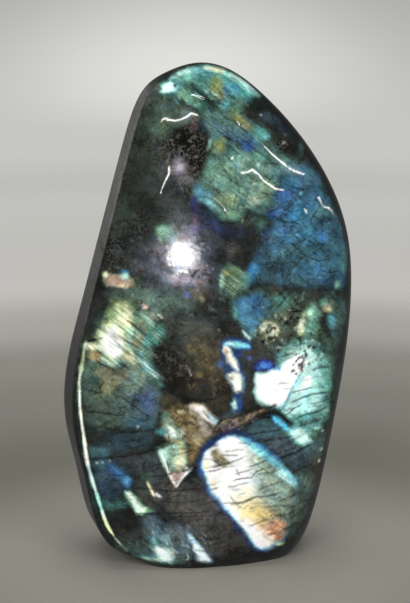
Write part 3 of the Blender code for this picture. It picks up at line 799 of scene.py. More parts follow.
# The hook and the pale blobs in the middle.
face.flash("#1f4478", "#26364c", [
    (0.6,76.4), (4,77), (8,76.8), (11,75.2), (11.4,73), (8.6,72), (8.4,69), (9.4,65), (9.6,60),
    (8.6,57.4), (8.2,54), (6.8,51.6), (4.2,51.4), (4,56), (4.6,60), (2,65), (0.2,68.4), (0.6,72),
], 1.2, 1.1, 1.2, 0.6)
face.flash("#8cdcec", "#2c70b0", [
    (1.6,75.4), (4,75.8), (7.6,75.4), (10.2,74.4), (10.8,73.2), (8.6,72.8), (6,73), (4.4,73.6),
    (2.4,73.8),
], 0.9, 0.5, 0.6, comb=0.4)
face.glow("#d0f8f4", 4.4, 74.8, 2.2, 0.9, 0.8, -8)
face.flash("#fff8ea", "#7ca0b8", [
    (1.6,74.6), (4,74.2), (5,72.6), (5.4,70.8), (6.6,69.2), (7.4,67), (7,65.7), (5.6,66.6),
    (4.1,68), (2.7,69.6), (1.8,71.8),
], 1, 0.5, 0.6, comb=0.4)
face.glows(
    ("#a89080", 3, 72.2, 1.4, 1.6, 0.8), ("#c0b8a0", 3.6, 69.4, 1.2, 1.6, 0.7),
    ("#475c80", 1.2, 68.3, 1.6, 1.6, 0.8),
)
face.line("#2b4058", [(2.2,67.2), (4.6,66), (7.2,64.6)], [0.5, 0.9, 0.4], 0.35, 0.3, 0.85)
face.flash("#f8faf0", "#8498a0", [
    (2.8,64.8), (5,65.8), (7.2,65.2), (8.2,63.2), (8.7,61.2), (8.2,59.4), (6.5,58.4), (5.2,59.1),
    (4.7,60.8), (3.7,62.8),
], 1.1, 0.7, 0.8, comb=0.6)
face.glows(
    ("#a0a48c", 4.4, 63.6, 1.3, 2, 0.75, -30), ("#66a8b8", 8.4, 62, 0.9, 3.4, 0.8),
)
face.flash("#bfe4d8", "#4a7a88", [
    (4.8,57.6), (6.3,57.4), (7,55.6), (6.5,53.6), (5.6,52.2), (4.4,53.2), (4.2,55),
], 0.9, 0.6, 0.6, 0.9, comb=0.4)
face.glow("#3858a8", 7.2, 55, 1.2, 2.8, 0.9)
# The white fan and the browns, left of the fissure.
face.flash("#6e6248", "#3a362a", [
    (-19,60), (-15,58.4), (-12,57.4), (-9,56), (-6,53), (-2,50), (1,48.4), (3,46.6), (0,44.4),
    (-3.6,42.4), (-5.6,38), (-8,34.8), (-11,35), (-14,38), (-17,44), (-19,50),
], 2.4, 1.2, 1.3, 0.9, comb=0.45)
face.glows(
    ("#8a7c58", -9, 46, 4, 4, 0.8), ("#94886c", -6.4, 44, 3.4, 3, 0.8), ("#8c7444", -8, 40, 2.4, 4, 0.85),
    ("#a4906a", -10, 43, 2.4, 2, 0.7), ("#7a6840", -10.4, 52, 4, 3, 0.8), ("#50482f", -16, 55.6, 3, 3, 0.8),
)
face.flash("#a09488", "#5c5448", [
    (-5.6,49.6), (-3.6,49.4), (-1,47.8), (1.6,47.4), (3.4,46.4), (1,45.2), (-2,44.4), (-5,44.6),
    (-6.6,46.8),
], 1.4, 0.8, 0.8, 0.85, comb=0.5)
face.flash("#fffcf4", "#b8a890", [
    (-10,55.3), (-8.6,55.9), (-6.4,55.9), (-4.5,55.3), (-3.1,53.4), (-1.6,51.6), (0.2,50.2),
    (0.7,48.6), (-0.4,47.5), (-2.2,48.6), (-3.8,50), (-5.2,51.4), (-6.4,52.9), (-8,53.6),
], 0.7, 0.5, 1.15, comb=0.9)
face.glows(
    ("#7cd4f0", -1.6, 50.4, 2.2, 1, 0.9, -42), ("#d4ecf0", -0.6, 48.6, 1.2, 1.2, 0.7),
)
face.lines(
    ("#3c342c", [(-4.6,53.4), (-2.8,51.2), (-1.2,49.4), (0.2,48)], [0.2, 0.5, 0.6, 0.3], 0.25, 0.2, 0.85),
    ("#8c9ca4", [(-5.4,54.6), (-3.6,52.8), (-2,51), (-0.4,49.4)], [0.2, 0.4, 0.5, 0.3], 0.3, 0.3, 0.7),
    ("#a89c8c", [(-8.4,54.6), (-6.6,53.8), (-4.8,52.2)], [0.2, 0.5, 0.3], 0.3, 0.3, 0.6),
    ("#6cc4e8", [(-3,52.6), (-1.4,51), (0.2,49.6)], [0.2, 0.7, 0.5], 0.3, 0.2, 0.8),
)
face.glow("#d8d0c4", -4.6, 49.2, 2.6, 0.9, 0.7, -42)
# The mint pieces left of the fan.
face.flash("#8fa48c", "#4c5a48", [
    (-18.4,52), (-16,53), (-14,51.6), (-12.6,49.4), (-10.6,47.6), (-9.4,45.6), (-11,43.8),
    (-14.4,43.6), (-17,44.6), (-18,48),
], 2, 0.9, 1, 0.9, comb=0.4)
face.flash("#f4fff6", "#7cb4a4", [
    (-16.2,49.4), (-14.8,48.9), (-13.6,47.8), (-12.8,46.4), (-13.2,45), (-14.6,44.8), (-15.6,46.2),
    (-16.2,47.8),
], 0.8, 0.7, 0.6, comb=0.3)
face.glows(
    ("#dcd8b0", -11.4, 46.4, 1.8, 2, 0.8), ("#4fa4a4", -18.2, 46.6, 2.2, 1.8, 0.95),
    ("#64b0a4", -17, 51.6, 1.6, 1.8, 0.8, -30),
)
# The mint and gold wedge.
face.flash("#90b4a0", "#506c60", [
    (-19.6,41.4), (-17,42.2), (-13.4,43.6), (-10.2,44.2), (-9,42), (-9.6,39), (-9.4,36), (-10,34.6),
    (-13,34), (-15.6,33.4), (-17,36.5), (-18.6,39.5),
], 1.5, 0.9, 0.8, comb=0.3)
face.glows(
    ("#f8f4cc", -12.2, 36.6, 2.9, 3), ("#e4d8a0", -11.4, 40, 2, 3, 0.8),
    ("#ece6a4", -12, 43, 1.4, 0.9, 0.8), ("#a8d4c0", -16.4, 39.4, 1.6, 2.6, 0.8),
)
face.flash("#f4fff8", "#a0ccbc", [
    (-18.8,40.6), (-17.6,40.2), (-16.6,37.6), (-15.4,34), (-14.8,33), (-16,33.2), (-17,35.4),
    (-18,38),
], 0.5, 0.4, 0.3, comb=0.3)
face.flash("#b8988a", "#d8ccc4", [
    (-15.6,32.8), (-13,33.4), (-11.2,33.8), (-10.6,32.6), (-11.6,31.2), (-12.6,29.6), (-13.6,29.8),
], 0.8, 0.4, 0.3, comb=0.3)
face.lines(
    ("#f8f8f8", [(-8.2,34.4), (-9.8,33.2), (-11.2,31.4), (-12.9,28.8)], [0.4, 1.2, 0.9, 0.5], 0.3, 0.25),
    ("#f0e8e0", [(-15.8,33.6), (-14.6,31.2), (-13.2,28.6)], [0.5, 0.9, 0.6], 0.3, 0.2),
)
face.glows(
    ("#f6f4ec", -10, 34.8, 1.4, 0.7, 0.9, -30), ("#2c3440", -8.6, 30.4, 2, 2.4, 0.7, 50),
    ("#3c4c5c", -5.4, 36.6, 1.6, 4, 0.9), ("#33557c", -4.9, 34, 1.4, 4, 0.9),
)
# Small pieces, lower left.
face.flash("#3c6c9c", "#2c4258", [
    (-36,37), (-33,36.6), (-30,34.8), (-27.6,32), (-26.8,29), (-28.6,27.6), (-31,28.4), (-32.6,31),
    (-35,33.6),
], 2.6, 1.5, 1, 0.85, comb=0.3)
face.glows(
    ("#5a9cc8", -28.8, 30, 2, 2.4, 0.85), ("#2c4a48", -34, 23, 6, 2.2, 0.8),
)
face.flash("#eefff4", "#6ca48c", [
    (-29.4,27), (-27.8,26.8), (-25.8,24.6), (-24.2,22.8), (-22.4,21.2), (-22.6,19.6), (-24.4,18.8),
    (-26,19.2), (-27,21), (-28.2,23.6), (-29.2,25.4),
], 1, 0.6, 0.7, comb=0.5)
face.glows(
    ("#e8ffe8", -25.2, 20.6, 1.8, 1.2, 0.8), ("#8fc8a8", -21.6, 20.4, 2.2, 1.2, 0.5),
)
for rise in (25.2, 23.9, 22.4, 21.2):
    start, end = (-46.6 + 0.7 * rise, rise), (-43.6 + 0.7 * rise, rise + 0.5)
    face.line("#4c6c5c", [start, end], [0.3, 0.2], 0.2, 0.2, 0.6)
face.flash("#fff8d8", "#6f7a58", [
    (-22.5,30.4), (-21.7,30.2), (-21,28.4), (-20.1,27), (-19.9,25.8), (-20.5,25.2), (-21.2,25.7),
    (-21.7,27.2), (-22.3,28.8),
], 0.6, 0.35, 0.35, comb=0.3)
face.line("#f4f2ee", [(-20.4,25.4), (-19.4,26), (-18.1,25.1)], [0.5, 0.5, 0.3], 0.3, 0.2)
face.glow("#3f5c44", -22.8, 32, 1.6, 1.4, 0.8)
# Pale streaks along the foot.
face.flash("#5c7c80", "#40504e", [
    (-24,13), (-20,14), (-16,11), (-13,7), (-11,3), (-13,1.6), (-20,1.8), (-27,4), (-25,6),
    (-21,8),
], 3, 1.6, 1.2, 0.8, comb=0.6)
face.flash("#c4e4d0", "#5a8c7c", [
    (-27,4.6), (-23.6,3.1), (-18,2.3), (-13.6,1.8), (-12.2,2.2), (-13.6,3.4), (-18,4.4), (-23,4.8),
], 1, 0.6, 0.6, 0.95, comb=0.4)
face.flash("#ffffff", "#8cb8b0", [
    (-21.4,9.6), (-19.6,9.4), (-17.2,8), (-15.4,6.2), (-13.6,4.2), (-11.8,2.3), (-14,2.2),
    (-16.6,3.2), (-18.2,4.6), (-19.6,6), (-20.8,7.6),
], 1.1, 0.8, 0.9, comb=0.6)
face.glow("#7cc0bc", -20.4, 9.8, 2, 2.4, 0.8, -40)
face.flash("#f4ffff", "#6c94a8", [
    (-9.9,12.6), (-8.6,12.2), (-7,10.2), (-5.2,8), (-3.8,5.8), (-2,3.8), (-0.6,2.4), (-3.4,2.4),
    (-5.6,3.2), (-7,4.6), (-8.2,6.4), (-8.2,8.8), (-9.3,10.6),
], 0.9, 0.6, 0.8, comb=0.6)
face.glow("#8cc0dc", -8.2, 10.6, 1.2, 2.8, 0.85, 40)
face.flash("#d4f0e4", "#4f6c6c", [
    (-10.6,5.7), (-9.4,5.2), (-8.1,3.5), (-9.4,3.9),
], 0.5, 0.4, 0.3, 0.95, comb=0.3)
face.glows(
    ("#def4ee", -16.2, 5.6, 3, 3.4, 0.85, -45), ("#eafafc", -5.4, 5.8, 2.2, 4.2, 0.85, 35),
    ("#9cc4c0", -17.4, 10.4, 3, 2.6, 0.6),
)
# The left flash.
face.flash("#46584e", "#28332e", [
    (-36,84), (-31,86), (-24,80), (-20,74), (-20.4,70.4), (-18.6,66.6), (-16.8,62), (-16.4,58),
    (-17.2,53), (-18.4,48.6), (-23,46.6), (-30,46.8), (-41.4,46.6), (-43,60), (-42,74.6),
], 2.6, 1.6, 1.2, comb=0.3)
face.glows(
    ("#3c463c", -37.4, 53, 7, 8, 0.95), ("#465a50", -39, 64, 5, 7, 0.9), ("#54685a", -33.6, 60, 4, 5, 0.8),
    ("#56686a", -28, 57, 5, 7, 0.9), ("#4a607c", -23, 56, 5.4, 8, 0.95, 15),
    ("#465a84", -21.4, 57.4, 3.4, 5.4, 0.6, 15), ("#3c5c6c", -25, 49.4, 6.4, 3.4, 0.9),
    ("#3a4a42", -36, 49.4, 7, 2.6, 0.8), ("#74806a", -31.6, 64.6, 9, 4.4, 0.95, -38),
    ("#6a8078", -26, 63.6, 8, 4.4, 0.9, -38), ("#4f6c62", -38.6, 65.4, 4, 4.6, 0.8),
    ("#a8a27e", -33.8, 65.6, 4.8, 4.8, 0.95, -50), ("#86845f", -34, 61.4, 3.2, 4, 0.8),
    ("#a49c74", -30, 66.4, 5, 2.6, 0.85, -40), ("#7c9484", -25.4, 66.4, 5.6, 3, 0.85, -40),
)
face.flash("#63938a", "#34504a", [
    (-33.6,83), (-33,86), (-31,88.8), (-28.6,88.6), (-25.4,87), (-22,84.8), (-18.6,81.6),
    (-16.6,78), (-18,75.4), (-20.6,72.6), (-20.8,70), (-18.6,65.8), (-16.6,61.8), (-18.6,62.6),
    (-22,65.4), (-26,67), (-30,66.6), (-34,67.4), (-38,69.6), (-41.6,73.6), (-38,75.6),
    (-38.6,77.4), (-35.6,80.4),
], 2.4, 1.2, 1.2, comb=0.95)
face.flash("#ccd4a4", "#748a60", [
    (-37.8,76.8), (-36,79.8), (-34.6,82.8), (-33.8,86), (-32.6,88.8), (-30,89.4), (-27,88),
    (-25,85.6), (-25,83), (-26.6,80), (-28,77), (-29,74), (-33,73),
], 2, 1.1, 1.2, 0.85, comb=0.9)
face.glows(
    ("#74988a", -22.4, 70.4, 4, 3, 0.85, -40), ("#559488", -19.4, 78, 4, 4.4, 0.9),
    ("#7cb4a0", -22.8, 82.6, 4, 3, 0.85, -38), ("#5c6a50", -24.6, 79.6, 3.4, 5, 0.7, 20),
    ("#9a9068", -23, 80.6, 1.8, 3.6, 0.7, 25), ("#8f8e68", -24.6, 75.4, 2.6, 3.2, 0.8),
    ("#bccc9c", -29, 83.6, 4.4, 4.8, 0.95), ("#f4f2cc", -28.8, 83.6, 3.2, 4.4, 0.95),
    ("#c8d89c", -30, 86, 2.2, 2.2, 0.8), ("#7c9c68", -33, 83.6, 2.6, 3.4, 0.85),
    ("#b8dcb4", -27.4, 79, 2.2, 3, 0.8), ("#e0dcae", -27.8, 71, 5.4, 3.4, 0.95, -42),
    ("#c8c090", -24, 69, 3, 1.4, 0.7, -38), ("#b49c6c", -37.6, 71.2, 3.4, 2.2, 0.9, -30),
    ("#c4e8d0", -33, 68.6, 3, 2.2, 0.9, -30), ("#f4f4cc", -38.4, 73.8, 4.2, 1.7, 0.95, -8),
)
face.flash("#ffffff", "#dce8bc", [
    (-37,77.6), (-35.2,79.8), (-33,82), (-31,82.4), (-30.2,80.6), (-29.8,78), (-29,75.6),
    (-28.6,73), (-29.4,70.6), (-31,69.4), (-32.6,69.4), (-34.4,70.8), (-36.6,73), (-37,75),
], 2.2, 1.6, 1.2, 0.9, comb=0.9)
face.glow("#ffffff", -31.8, 74.4, 3, 4.4, 0.95)
face.flash("#98c8c4", "#54807c", [
    (-25.6,71.8), (-23,71.2), (-20.6,68.6), (-18.4,65.4), (-16.6,61.8), (-18,61.4), (-20.6,63.6),
    (-23.2,66.8), (-25.6,69.4),
], 1.2, 0.8, 0.9, 0.85, comb=1)
face.glows(
    ("#e8fbf8", -19.6, 65.2, 2.2, 0.7, 0.9, -52), ("#d4f0e8", -22, 68.4, 1.6, 0.6, 0.8, -52),
)
face.line(
    "#20261f", [(-43,75.2), (-39.6,75.8), (-37.2,76.3), (-35.4,76.7)], [1.3, 1, 0.5, 0.1], 0.3, 0.2, 0.9
)
# The chip on the left edge, the painted haze and glints of the lamp's reflection round the sparkle, and the
# small chips below it.
face.glows(
    ("#5c6e5e", -25, 92, 6, 4, 0.9), ("#3c4a42", -31, 91, 5, 3, 0.7),
)
face.flash("#9c8474", "#6c7460", [
    (-35,97.4), (-34,97.7), (-32.4,96.9), (-30,97), (-27.6,96.8), (-26,95.1), (-25.2,93.7),
    (-26.4,92.7), (-28.5,92.4), (-31,92.8), (-34,93.1), (-35.4,94.6),
], 0.9, 0.35, 0.46, comb=0.3)
face.glows(
    ("#c8e0bc", -34.3, 96.6, 1.1, 1.3, 0.95), ("#3c80a4", -28.6, 97.4, 2, 1.2, 0.7),
    ("#c4ecd8", -28.7, 96, 2.2, 1.4, 0.95), ("#dccca8", -28.6, 93.3, 2.6, 0.9, 0.9),
    ("#7c7c58", -26.2, 94.7, 1.2, 1.2, 0.8),
)
face.flash("#6c9480", "#2c4038", [
    (-19,112), (-16.4,113.8), (-13,112.6), (-11.6,110.4), (-12.6,107.6), (-15,106), (-17.8,106.8),
    (-19.6,109.2),
], 2.6, 1.53, 1.2, comb=0.3)
# The last five spots here are painted reflection: a pink gloss and the lamp's wide haze round the sparkle.
face.glows(
    ("#8cb8a0", -16.6, 110.6, 1.4, 1.4, 0.5), ("#2c3c34", -15.4, 107.6, 1.6, 1.6, 0.6),
    ("#9a8288", -16.2, 105.2, 3.4, 1.8, 0.85), ("#5c5458", -19.4, 104.4, 2.6, 1.2, 0.6),
    ("#5c606c", -11, 101, 17, 14, 0.85), ("#74747f", -10.8, 101.4, 10, 11, 0.95),
    ("#a4a8b4", -10.2, 102.4, 7, 7.5, 0.95),
)
# Painted glints: fine pale strokes round the sparkle, where the polish catches the lamp, with some dark ones
# between.
face.strokes(
    -9.8, 101.6, 10, 11, 120, ("#dcd8e8", "#a8a0b4", "#8c94a8", "#c4b4b8", "#1c1c20", "#24222a"), -40, 5,
    0.8, 0.6, 0.5
)
# The lilac and pink spots below the sparkle are painted haze of its reflection.
face.glows(
    ("#7ca08c", -15, 109, 4.5, 3.4, 0.4), ("#a49cb0", -11.6, 95, 6.5, 2.6, 0.8),
    ("#9c8c90", -5.2, 95, 3.4, 2.4, 0.7), ("#6c5c78", -6.2, 112.4, 1.6, 3.6, 0.8),
)
face.lace_over(-7.4, 97, 5.4, 3.4, 0.9)
face.lace_over(-16, 98.6, 3.4, 3, 0.7)
face.pit_over(-7, 97, 5, 3.6, 0.6)
# The first two spots are painted haze of the lamp's reflection round the sparkle; the violet and olive ones
# are the stone's own.
face.glows(
    ("#8c88a0", -8.6, 109.6, 3.2, 4.4, 0.85), ("#7c6c70", -5, 98.6, 4, 2.4, 0.75),
    ("#5a66a8", -9.5, 90.2, 1.6, 1.7, 0.9), ("#a49c80", -4.4, 89, 1.6, 0.9, 0.8, -35),
)
face.flash("#ccb8b0", "#7a6a68", [
    (-23.2,88), (-21,86.8), (-22,85.4), (-23.2,86),
], 0.5, 0.25, 0.17, comb=0.3)
# Painted glints on two small chips, and a painted shadow under the first.
face.lines(
    ("#e4e4e4", [(-18.3,84.3), (-16.9,83.2)], 0.25, 0.16),
    ("#0e0f0e", [(-18.6,83.6), (-17.2,82.3), (-16.4,82.9)], 0.4, 0.25),
    ("#c8c8c4", [(-9.9,68.4), (-8.9,66.8), (-8.2,64.9)], [0.1, 0.3, 0.1], 0.2, 0, 0.9),
)
# The main flash, lower right: white, then cream, gold and peach down to the right.
MAIN_OUTLINE = [
    (-5,38.6), (-4.2,40.4), (-2.8,41.2), (-1.2,42.8), (0.6,44.2), (3,45), (5.8,45.4), (8.4,43.8),
    (11.4,41.4), (14.4,39.2), (17.4,36.8), (20.6,34), (23.6,31.4), (26.6,28.4), (28,24), (26.8,19),
    (25.4,14), (24.2,10), (22.6,7.4), (20.4,6.2), (17.4,5.4), (14.6,5.9), (12.6,7.4), (11,9.6),
    (9.4,11.8), (7.8,14.2), (5.6,16.8), (3.8,19.4), (2,21.6), (0.2,24), (-1.8,26.2), (-3.2,29),
    (-4.2,32), (-5,35.4),
]
face.flash("#233a5c", "#2c3848", [
    (-6,41), (-2,45), (2.5,47), (6,47.2), (10,45.4), (14,42.4), (18,39.6), (21.4,36.2), (16,35),
    (9,39), (4,42), (-1,41.4),
], 1.2, 1.1, 0.6, 0.9)
face.line(
    "#1c3c80", [(-6,37), (-5.2,33), (-4,29.4), (-2.2,26), (0,23.2), (2.4,20.4), (4.6,17.4),
    (6.8,14.4), (8.8,11.6), (10.8,8.6), (13,6.2), (16.6,4.8)], [1.4, 1, 1.3, 1.9, 1.4, 2.2, 1.2, 1.8,
    1, 1.7, 1.2, 0.9], 0.8, 0.8, 0.75
)
face.flash("#8a9c8c", "#3f6c98", MAIN_OUTLINE, 2, 0.7, 0.6, comb=0.4, fade=((25,2), (29.4,30), 6))
face.glows(
    ("#5c7064", 26, 24, 4, 6, 0.95), ("#5a6a5a", 25, 17.4, 4, 4.4, 0.95),
    ("#3c4a40", 25.6, 11, 3.4, 4, 0.95), ("#74857a", 22.6, 21.6, 4, 3.4, 0.8),
    ("#8ea99c", 19.6, 26, 5, 4.4, 0.85), ("#7ba39c", 22.6, 29.4, 4, 3, 0.85),
    ("#4f7478", 27, 28.6, 3, 2.4, 0.7),
)
face.flash("#c8e4dc", "#a0ccd0", MAIN_OUTLINE, 2.4, 1.2, 0.6, 0.6, comb=0.2, fade=((23,8), (17,36), 7))
face.flash("#ffffff", "#a4d8f4", MAIN_OUTLINE, 1, 0.5, 0.6, comb=0.2, fade=((18.6,8), (12.4,42), 5.5))
face.glows(
    ("#ffffff", 4, 38, 6, 6, 0.9), ("#ffffff", 3, 31, 6, 6, 0.9), ("#ffffff", 6.4, 24, 5, 5, 0.9),
    ("#fbf6d0", 8.6, 23, 6, 6, 0.9), ("#f8f0c0", 10.4, 20, 5, 4.4, 0.9),
    ("#f2dc90", 12.6, 18.6, 7.2, 5.4, 1, -30), ("#dcc078", 16.6, 18, 4.4, 3.8, 0.9),
    ("#ecc88c", 14.6, 14.6, 4.4, 3, 0.9), ("#e09c6c", 18.2, 11.6, 6.6, 5, 1, 20),
    ("#e8ac88", 18, 14, 5.4, 2.8, 0.9), ("#d09c80", 21, 13.6, 3.4, 3.2, 0.8),
    ("#c07048", 20.6, 9, 1.9, 1.6, 0.85), ("#fff8ec", 16.6, 9.6, 3.4, 1.8, 0.9),
    ("#ffffff", 15.8, 7.4, 4, 1.6, 0.9), ("#b8d8a8", 20.6, 6.6, 2.4, 0.9, 0.8, 6),
)
face.lines(
    ("#fdfdf4", [(14.4,30.6), (16.2,28.6), (18,26.6)], [0.4, 1.2, 0.4], 0.5, 0.4, 0.6),
    ("#8fe4f0", [(7.6,44), (11,41.6), (14.4,39), (17.6,36.4), (20.4,33.8), (23.2,30.8), (25.8,27.4)],
     [0.8, 2, 2.6, 2.4, 2, 1.4, 0.5], 0.9, 0.6, 0.9),
    ("#3c8cc4", [(10,43.6), (13.8,41), (17.4,38.4), (20.6,35.6)], [0.6, 1.2, 1.2, 0.5], 0.5, 0.3, 0.85),
)
face.flash("#c8ece8", "#7cb8b8", [
    (19,34.4), (22,31.8), (24.6,28.6), (26,26), (24,26.4), (21.4,29.4), (18.6,32),
], 1.2, 0.9, 0.9, 0.8, comb=0.8)
# Its creamy left lobe and the brown patch in its top.
face.glows(
    ("#f6f4c8", -3.2, 35.4, 1.8, 2.2, 0.8), ("#f4f0c4", -0.8, 29.4, 2, 2.4, 0.6),
)
face.flash("#948864", "#c8c4a4", [
    (-2.9,39.6), (-1.2,41.8), (0.4,41.4), (1.6,39.4), (3.4,37.4), (4.8,35.6), (1.4,34.8),
    (-0.4,35.4), (-1.6,37.4),
], 1.6, 1, 1, 0.9, comb=0.7)
face.glows(
    ("#54482c", -0.8, 39.8, 1.6, 1.4, 0.8), ("#1c2c54", -1.6, 42, 2.2, 1.4, 0.95),
)
face.line(
    "#16265c", [(-5.4,37.4), (-4.8,39.8), (-3.2,41.6), (-1,43.4), (1.4,45), (4,46), (6.6,46.2),
    (9.6,44.6)], [1, 1.4, 1.6, 1.6, 1.5, 1.3, 1, 0.6], 0.6, 0.3, 0.9
)
face.glow("#c4b48c", 2.6, 35.8, 1.8, 0.9, 0.8)
face.line(
    "#585038", [(-4.6,34.6), (-1,34.9), (3,35.5), (6.4,36.6)], [0.3, 0.5, 0.4, 0.2], 0.3, 0.3, 0.7
)
# The cyan wedge and the mint patch above it.
face.flash("#5fc4e4", "#2c5c84", [
    (17.2,51.2), (19.2,50.8), (21.4,49), (23.8,46.8), (24.4,45.4), (22.4,45.4), (20.2,47),
    (18,49.2),
], 0.8, 0.61, 0.52, comb=0.3)
face.flash("#dafff8", "#6aaaa0", [
    (22.4,45), (24.2,46.6), (27,47), (28.8,45.4), (30.4,43.6), (31.8,41.4), (30.8,40.4), (28,40.2),
    (25.4,41.2), (23.8,43),
], 1.6, 1.02, 0.75, comb=0.3)
# The light caught under the flank's edge.
face.lines(
    ("#16302a", [(-43.6,60), (-43.5,52), (-42.6,42), (-41.4,34), (-39.8,26), (-37.6,18.5),
     (-35,12.8), (-31,8.2)], 1.2, 0.5, 0.1, 0.7),
    ("#c4d6b4", [(-40.8,75), (-41.5,72), (-41.7,69.4)], [1, 0.5, 0.4], 0.25),
    ("#b8c8a0", [(-41.8,69.4), (-42.4,67), (-42.7,65)], [0.8, 1.2, 0.8], 0.3),
    ("#d4dcc0", [(-42.8,65), (-43.1,62), (-43.1,59.4)], [0.5, 0.4, 0.8], 0.25),
    ("#fcfff2", [(-43.1,59.4), (-43.1,55.5), (-42.9,52), (-42.4,47.5), (-42,44), (-41.6,40),
     (-40.8,35)], [0.5, 0.8, 0.8, 0.7, 0.8, 0.9, 0.9], 0.25, 0.2),
    ("#d2f2f2", [(-40.8,35), (-39.6,30), (-38.3,25.6)], [0.9, 1, 0.8], 0.3),
    ("#a8e4d6", [(-38.3,25.6), (-37.6,23), (-36.7,20)], [1.1, 1, 0.9], 0.3),
    ("#effff0", [(-36.7,20), (-36,17.4)], [0.9, 1], 0.3),
    ("#fbffcc", [(-36,17.4), (-35.1,15), (-34.2,13.3), (-33.2,11.8)], [1, 1.1, 0.8, 0.3], 0.3),
    ("#9cac98", [(-33.2,11.4), (-31,8.8), (-28.9,6.4)], [0.35, 0.4, 0.25], 0.25),
)
# Near-black rock left of the brown heart.
face.glows(
    ("#12110e", -14.8, 69.6, 6.6, 6.4, 0.95), ("#161410", -12.6, 62.6, 6.4, 4.6, 0.95),
    ("#34301f", -15.8, 56.6, 4.2, 3, 0.85), ("#463f2c", -12.4, 53.6, 3.6, 2.4, 0.75),
    ("#4a4634", -6.6, 72.6, 4.6, 3.6, 0.8), ("#fffaf0", -6.8, 54.4, 3.2, 1.4, 0.9, -18),
    ("#e4f4fa", -1.8, 50.2, 2.4, 1, 0.85, -45),
)
face.lace_over(-13.4, 68.4, 5.6, 5.6, 0.3)
# Fine strokes where the layers break off.
for spot in (
    (-14.5, 66.5, 6, 8, 60, ("#070706", "#4c4a3e", "#0c0c0a", "#6c6a5a"), -42, 61),
    (-4, 68, 8, 10, 80, ("#1a1712", "#6a5c40", "#7c6c4c", "#241f17"), -50, 62, 0.9),
    (-10, 48, 6.4, 9, 110, ("#1c1810", "#a89468", "#c4b890", "#3c3220", "#e0d8c0"), -42, 63, 1, 0.7),
    (-28.6, 104, 6, 17, 90, ("#6c6864", "#080807", "#0c0c0b", "#4c4a46"), 60, 64, 0.6, 0.55, 0.9),
    (-10, 135, 7, 8, 60, ("#8c8880", "#060606", "#0a0908"), 20, 65, 0.6, 0.5, 0.9),
    (19.6, 79, 8, 9, 90, ("#0e100c", "#d4dcc0", "#5c6c54", "#181a16"), -45, 66, 0.7, 0.7, 0.5),
    (22, 86, 8, 6, 50, ("#0e1210", "#10161a", "#4c8078"), 42, 67, 1, 0.7),
    (30, 70, 6, 5.4, 60, ("#0a0c0a", "#121814", "#ecf8f2"), 60, 68, 0.5, 0.8, 0.9),
    (-25.5, 78.5, 8.5, 9.5, 90, ("#34443c", "#e8ecd0", "#54665a", "#2c3c34"), -38, 69, 1.7, 0.5, 0.1),
    (-26, 64, 10, 6, 50, ("#28342e", "#98a890", "#34443e"), -38, 70, 1.7, 0.45, 0.12),
    (8, 126, 13, 12, 110, ("#30483e", "#9cc4b0", "#1e322c", "#263c36"), -35, 71, 1, 0.5, 0.6),
    (2, 152, 15, 7, 70, ("#1e3430", "#9cdccc", "#28443e"), -38, 72, 1.3, 0.55, 0.25),
    (28, 109, 13, 17, 120, ("#10202c", "#5c9cc4", "#142838", "#0e1820"), -20, 73, 1.2, 0.55, 0.8),
    (-31, 50, 10, 7, 60, ("#141a16", "#5c6c64", "#101412"), 8, 74, 1.4, 0.5, 0.3),
    (-14, 9, 12, 8, 70, ("#b8d0d4", "#1c2426", "#6c8088"), -50, 75, 1, 0.45, 0.25),
    (13, 24, 12, 16, 80, ("#6c7c70", "#f8fcf0", "#38443c", "#a8b0a0"), 10, 76, 1.1, 0.5, 0.3),
    (30, 52, 7, 12, 60, ("#2c4844", "#c8fcf4", "#1c302e"), 12, 77, 1.2, 0.5, 0.3),
    (20, 42, 12, 7, 60, ("#14202a", "#6c8890", "#10181c"), 10, 78, 1.4, 0.5, 0.3),
    (-10, 88, 16, 6, 80, ("#0c0e0c", "#6c7c74", "#141816"), -40, 79, 0.8, 0.5, 0.5),
    (4, 100, 10, 7, 50, ("#0a0a0c", "#444850", "#101014"), -40, 80, 0.8, 0.5, 0.6),
):
    face.strokes(*spot)
# Small light spots.
for x, z, radius, tone in (
    (-25.1, 48.3, 0.7, "#c4ccd4"), (34.6, 33.4, 0.9, "#e8dcc8"), (35.2, 37.4, 1, "#9cbcb0"),
    (35.2, 43.9, 0.7, "#b8c8c0"), (22.6, 136.9, 0.7, "#a09c94"), (23.4, 139.2, 0.8, "#4c4c44"),
    (0.9, 79.3, 0.8, "#8a8c80"), (15.3, 145.6, 0.6, "#8c9490"), (5.9, 132.6, 0.7, "#c8e0d4"),
    (8.2, 133.2, 0.6, "#8cac9c"), (14, 130.4, 0.9, "#a4c4b4"), (12.6, 124.6, 1, "#a8d4b8"),
    (27.6, 121.3, 0.9, "#7cc4dc"), (29.3, 115.8, 0.7, "#a0dcec"), (8.6, 113.4, 0.4, "#a0a890"),
    (-36.2, 36.2, 0.7, "#8ca0a4"), (-38, 36, 0.7, "#94a4a8"), (-34, 36.8, 0.6, "#8ca4a8"),
):
    face.glow(tone, x, z, radius, radius)
# Painted shade: the face is darkened towards its rim, where it turns away from the light, except along the
# ground flank.
rim_share = roundness[on_face]
painted_rim_shade = smooth(0.4, 0.72, rim_share) * smooth(-0.8, -0.62, facing[on_face, 0])
painted_rim_shade *= 1 - 0.75 * smooth(150, 156, face.z)
face.colour *= (1 - 0.8 * painted_rim_shade)[:, None]

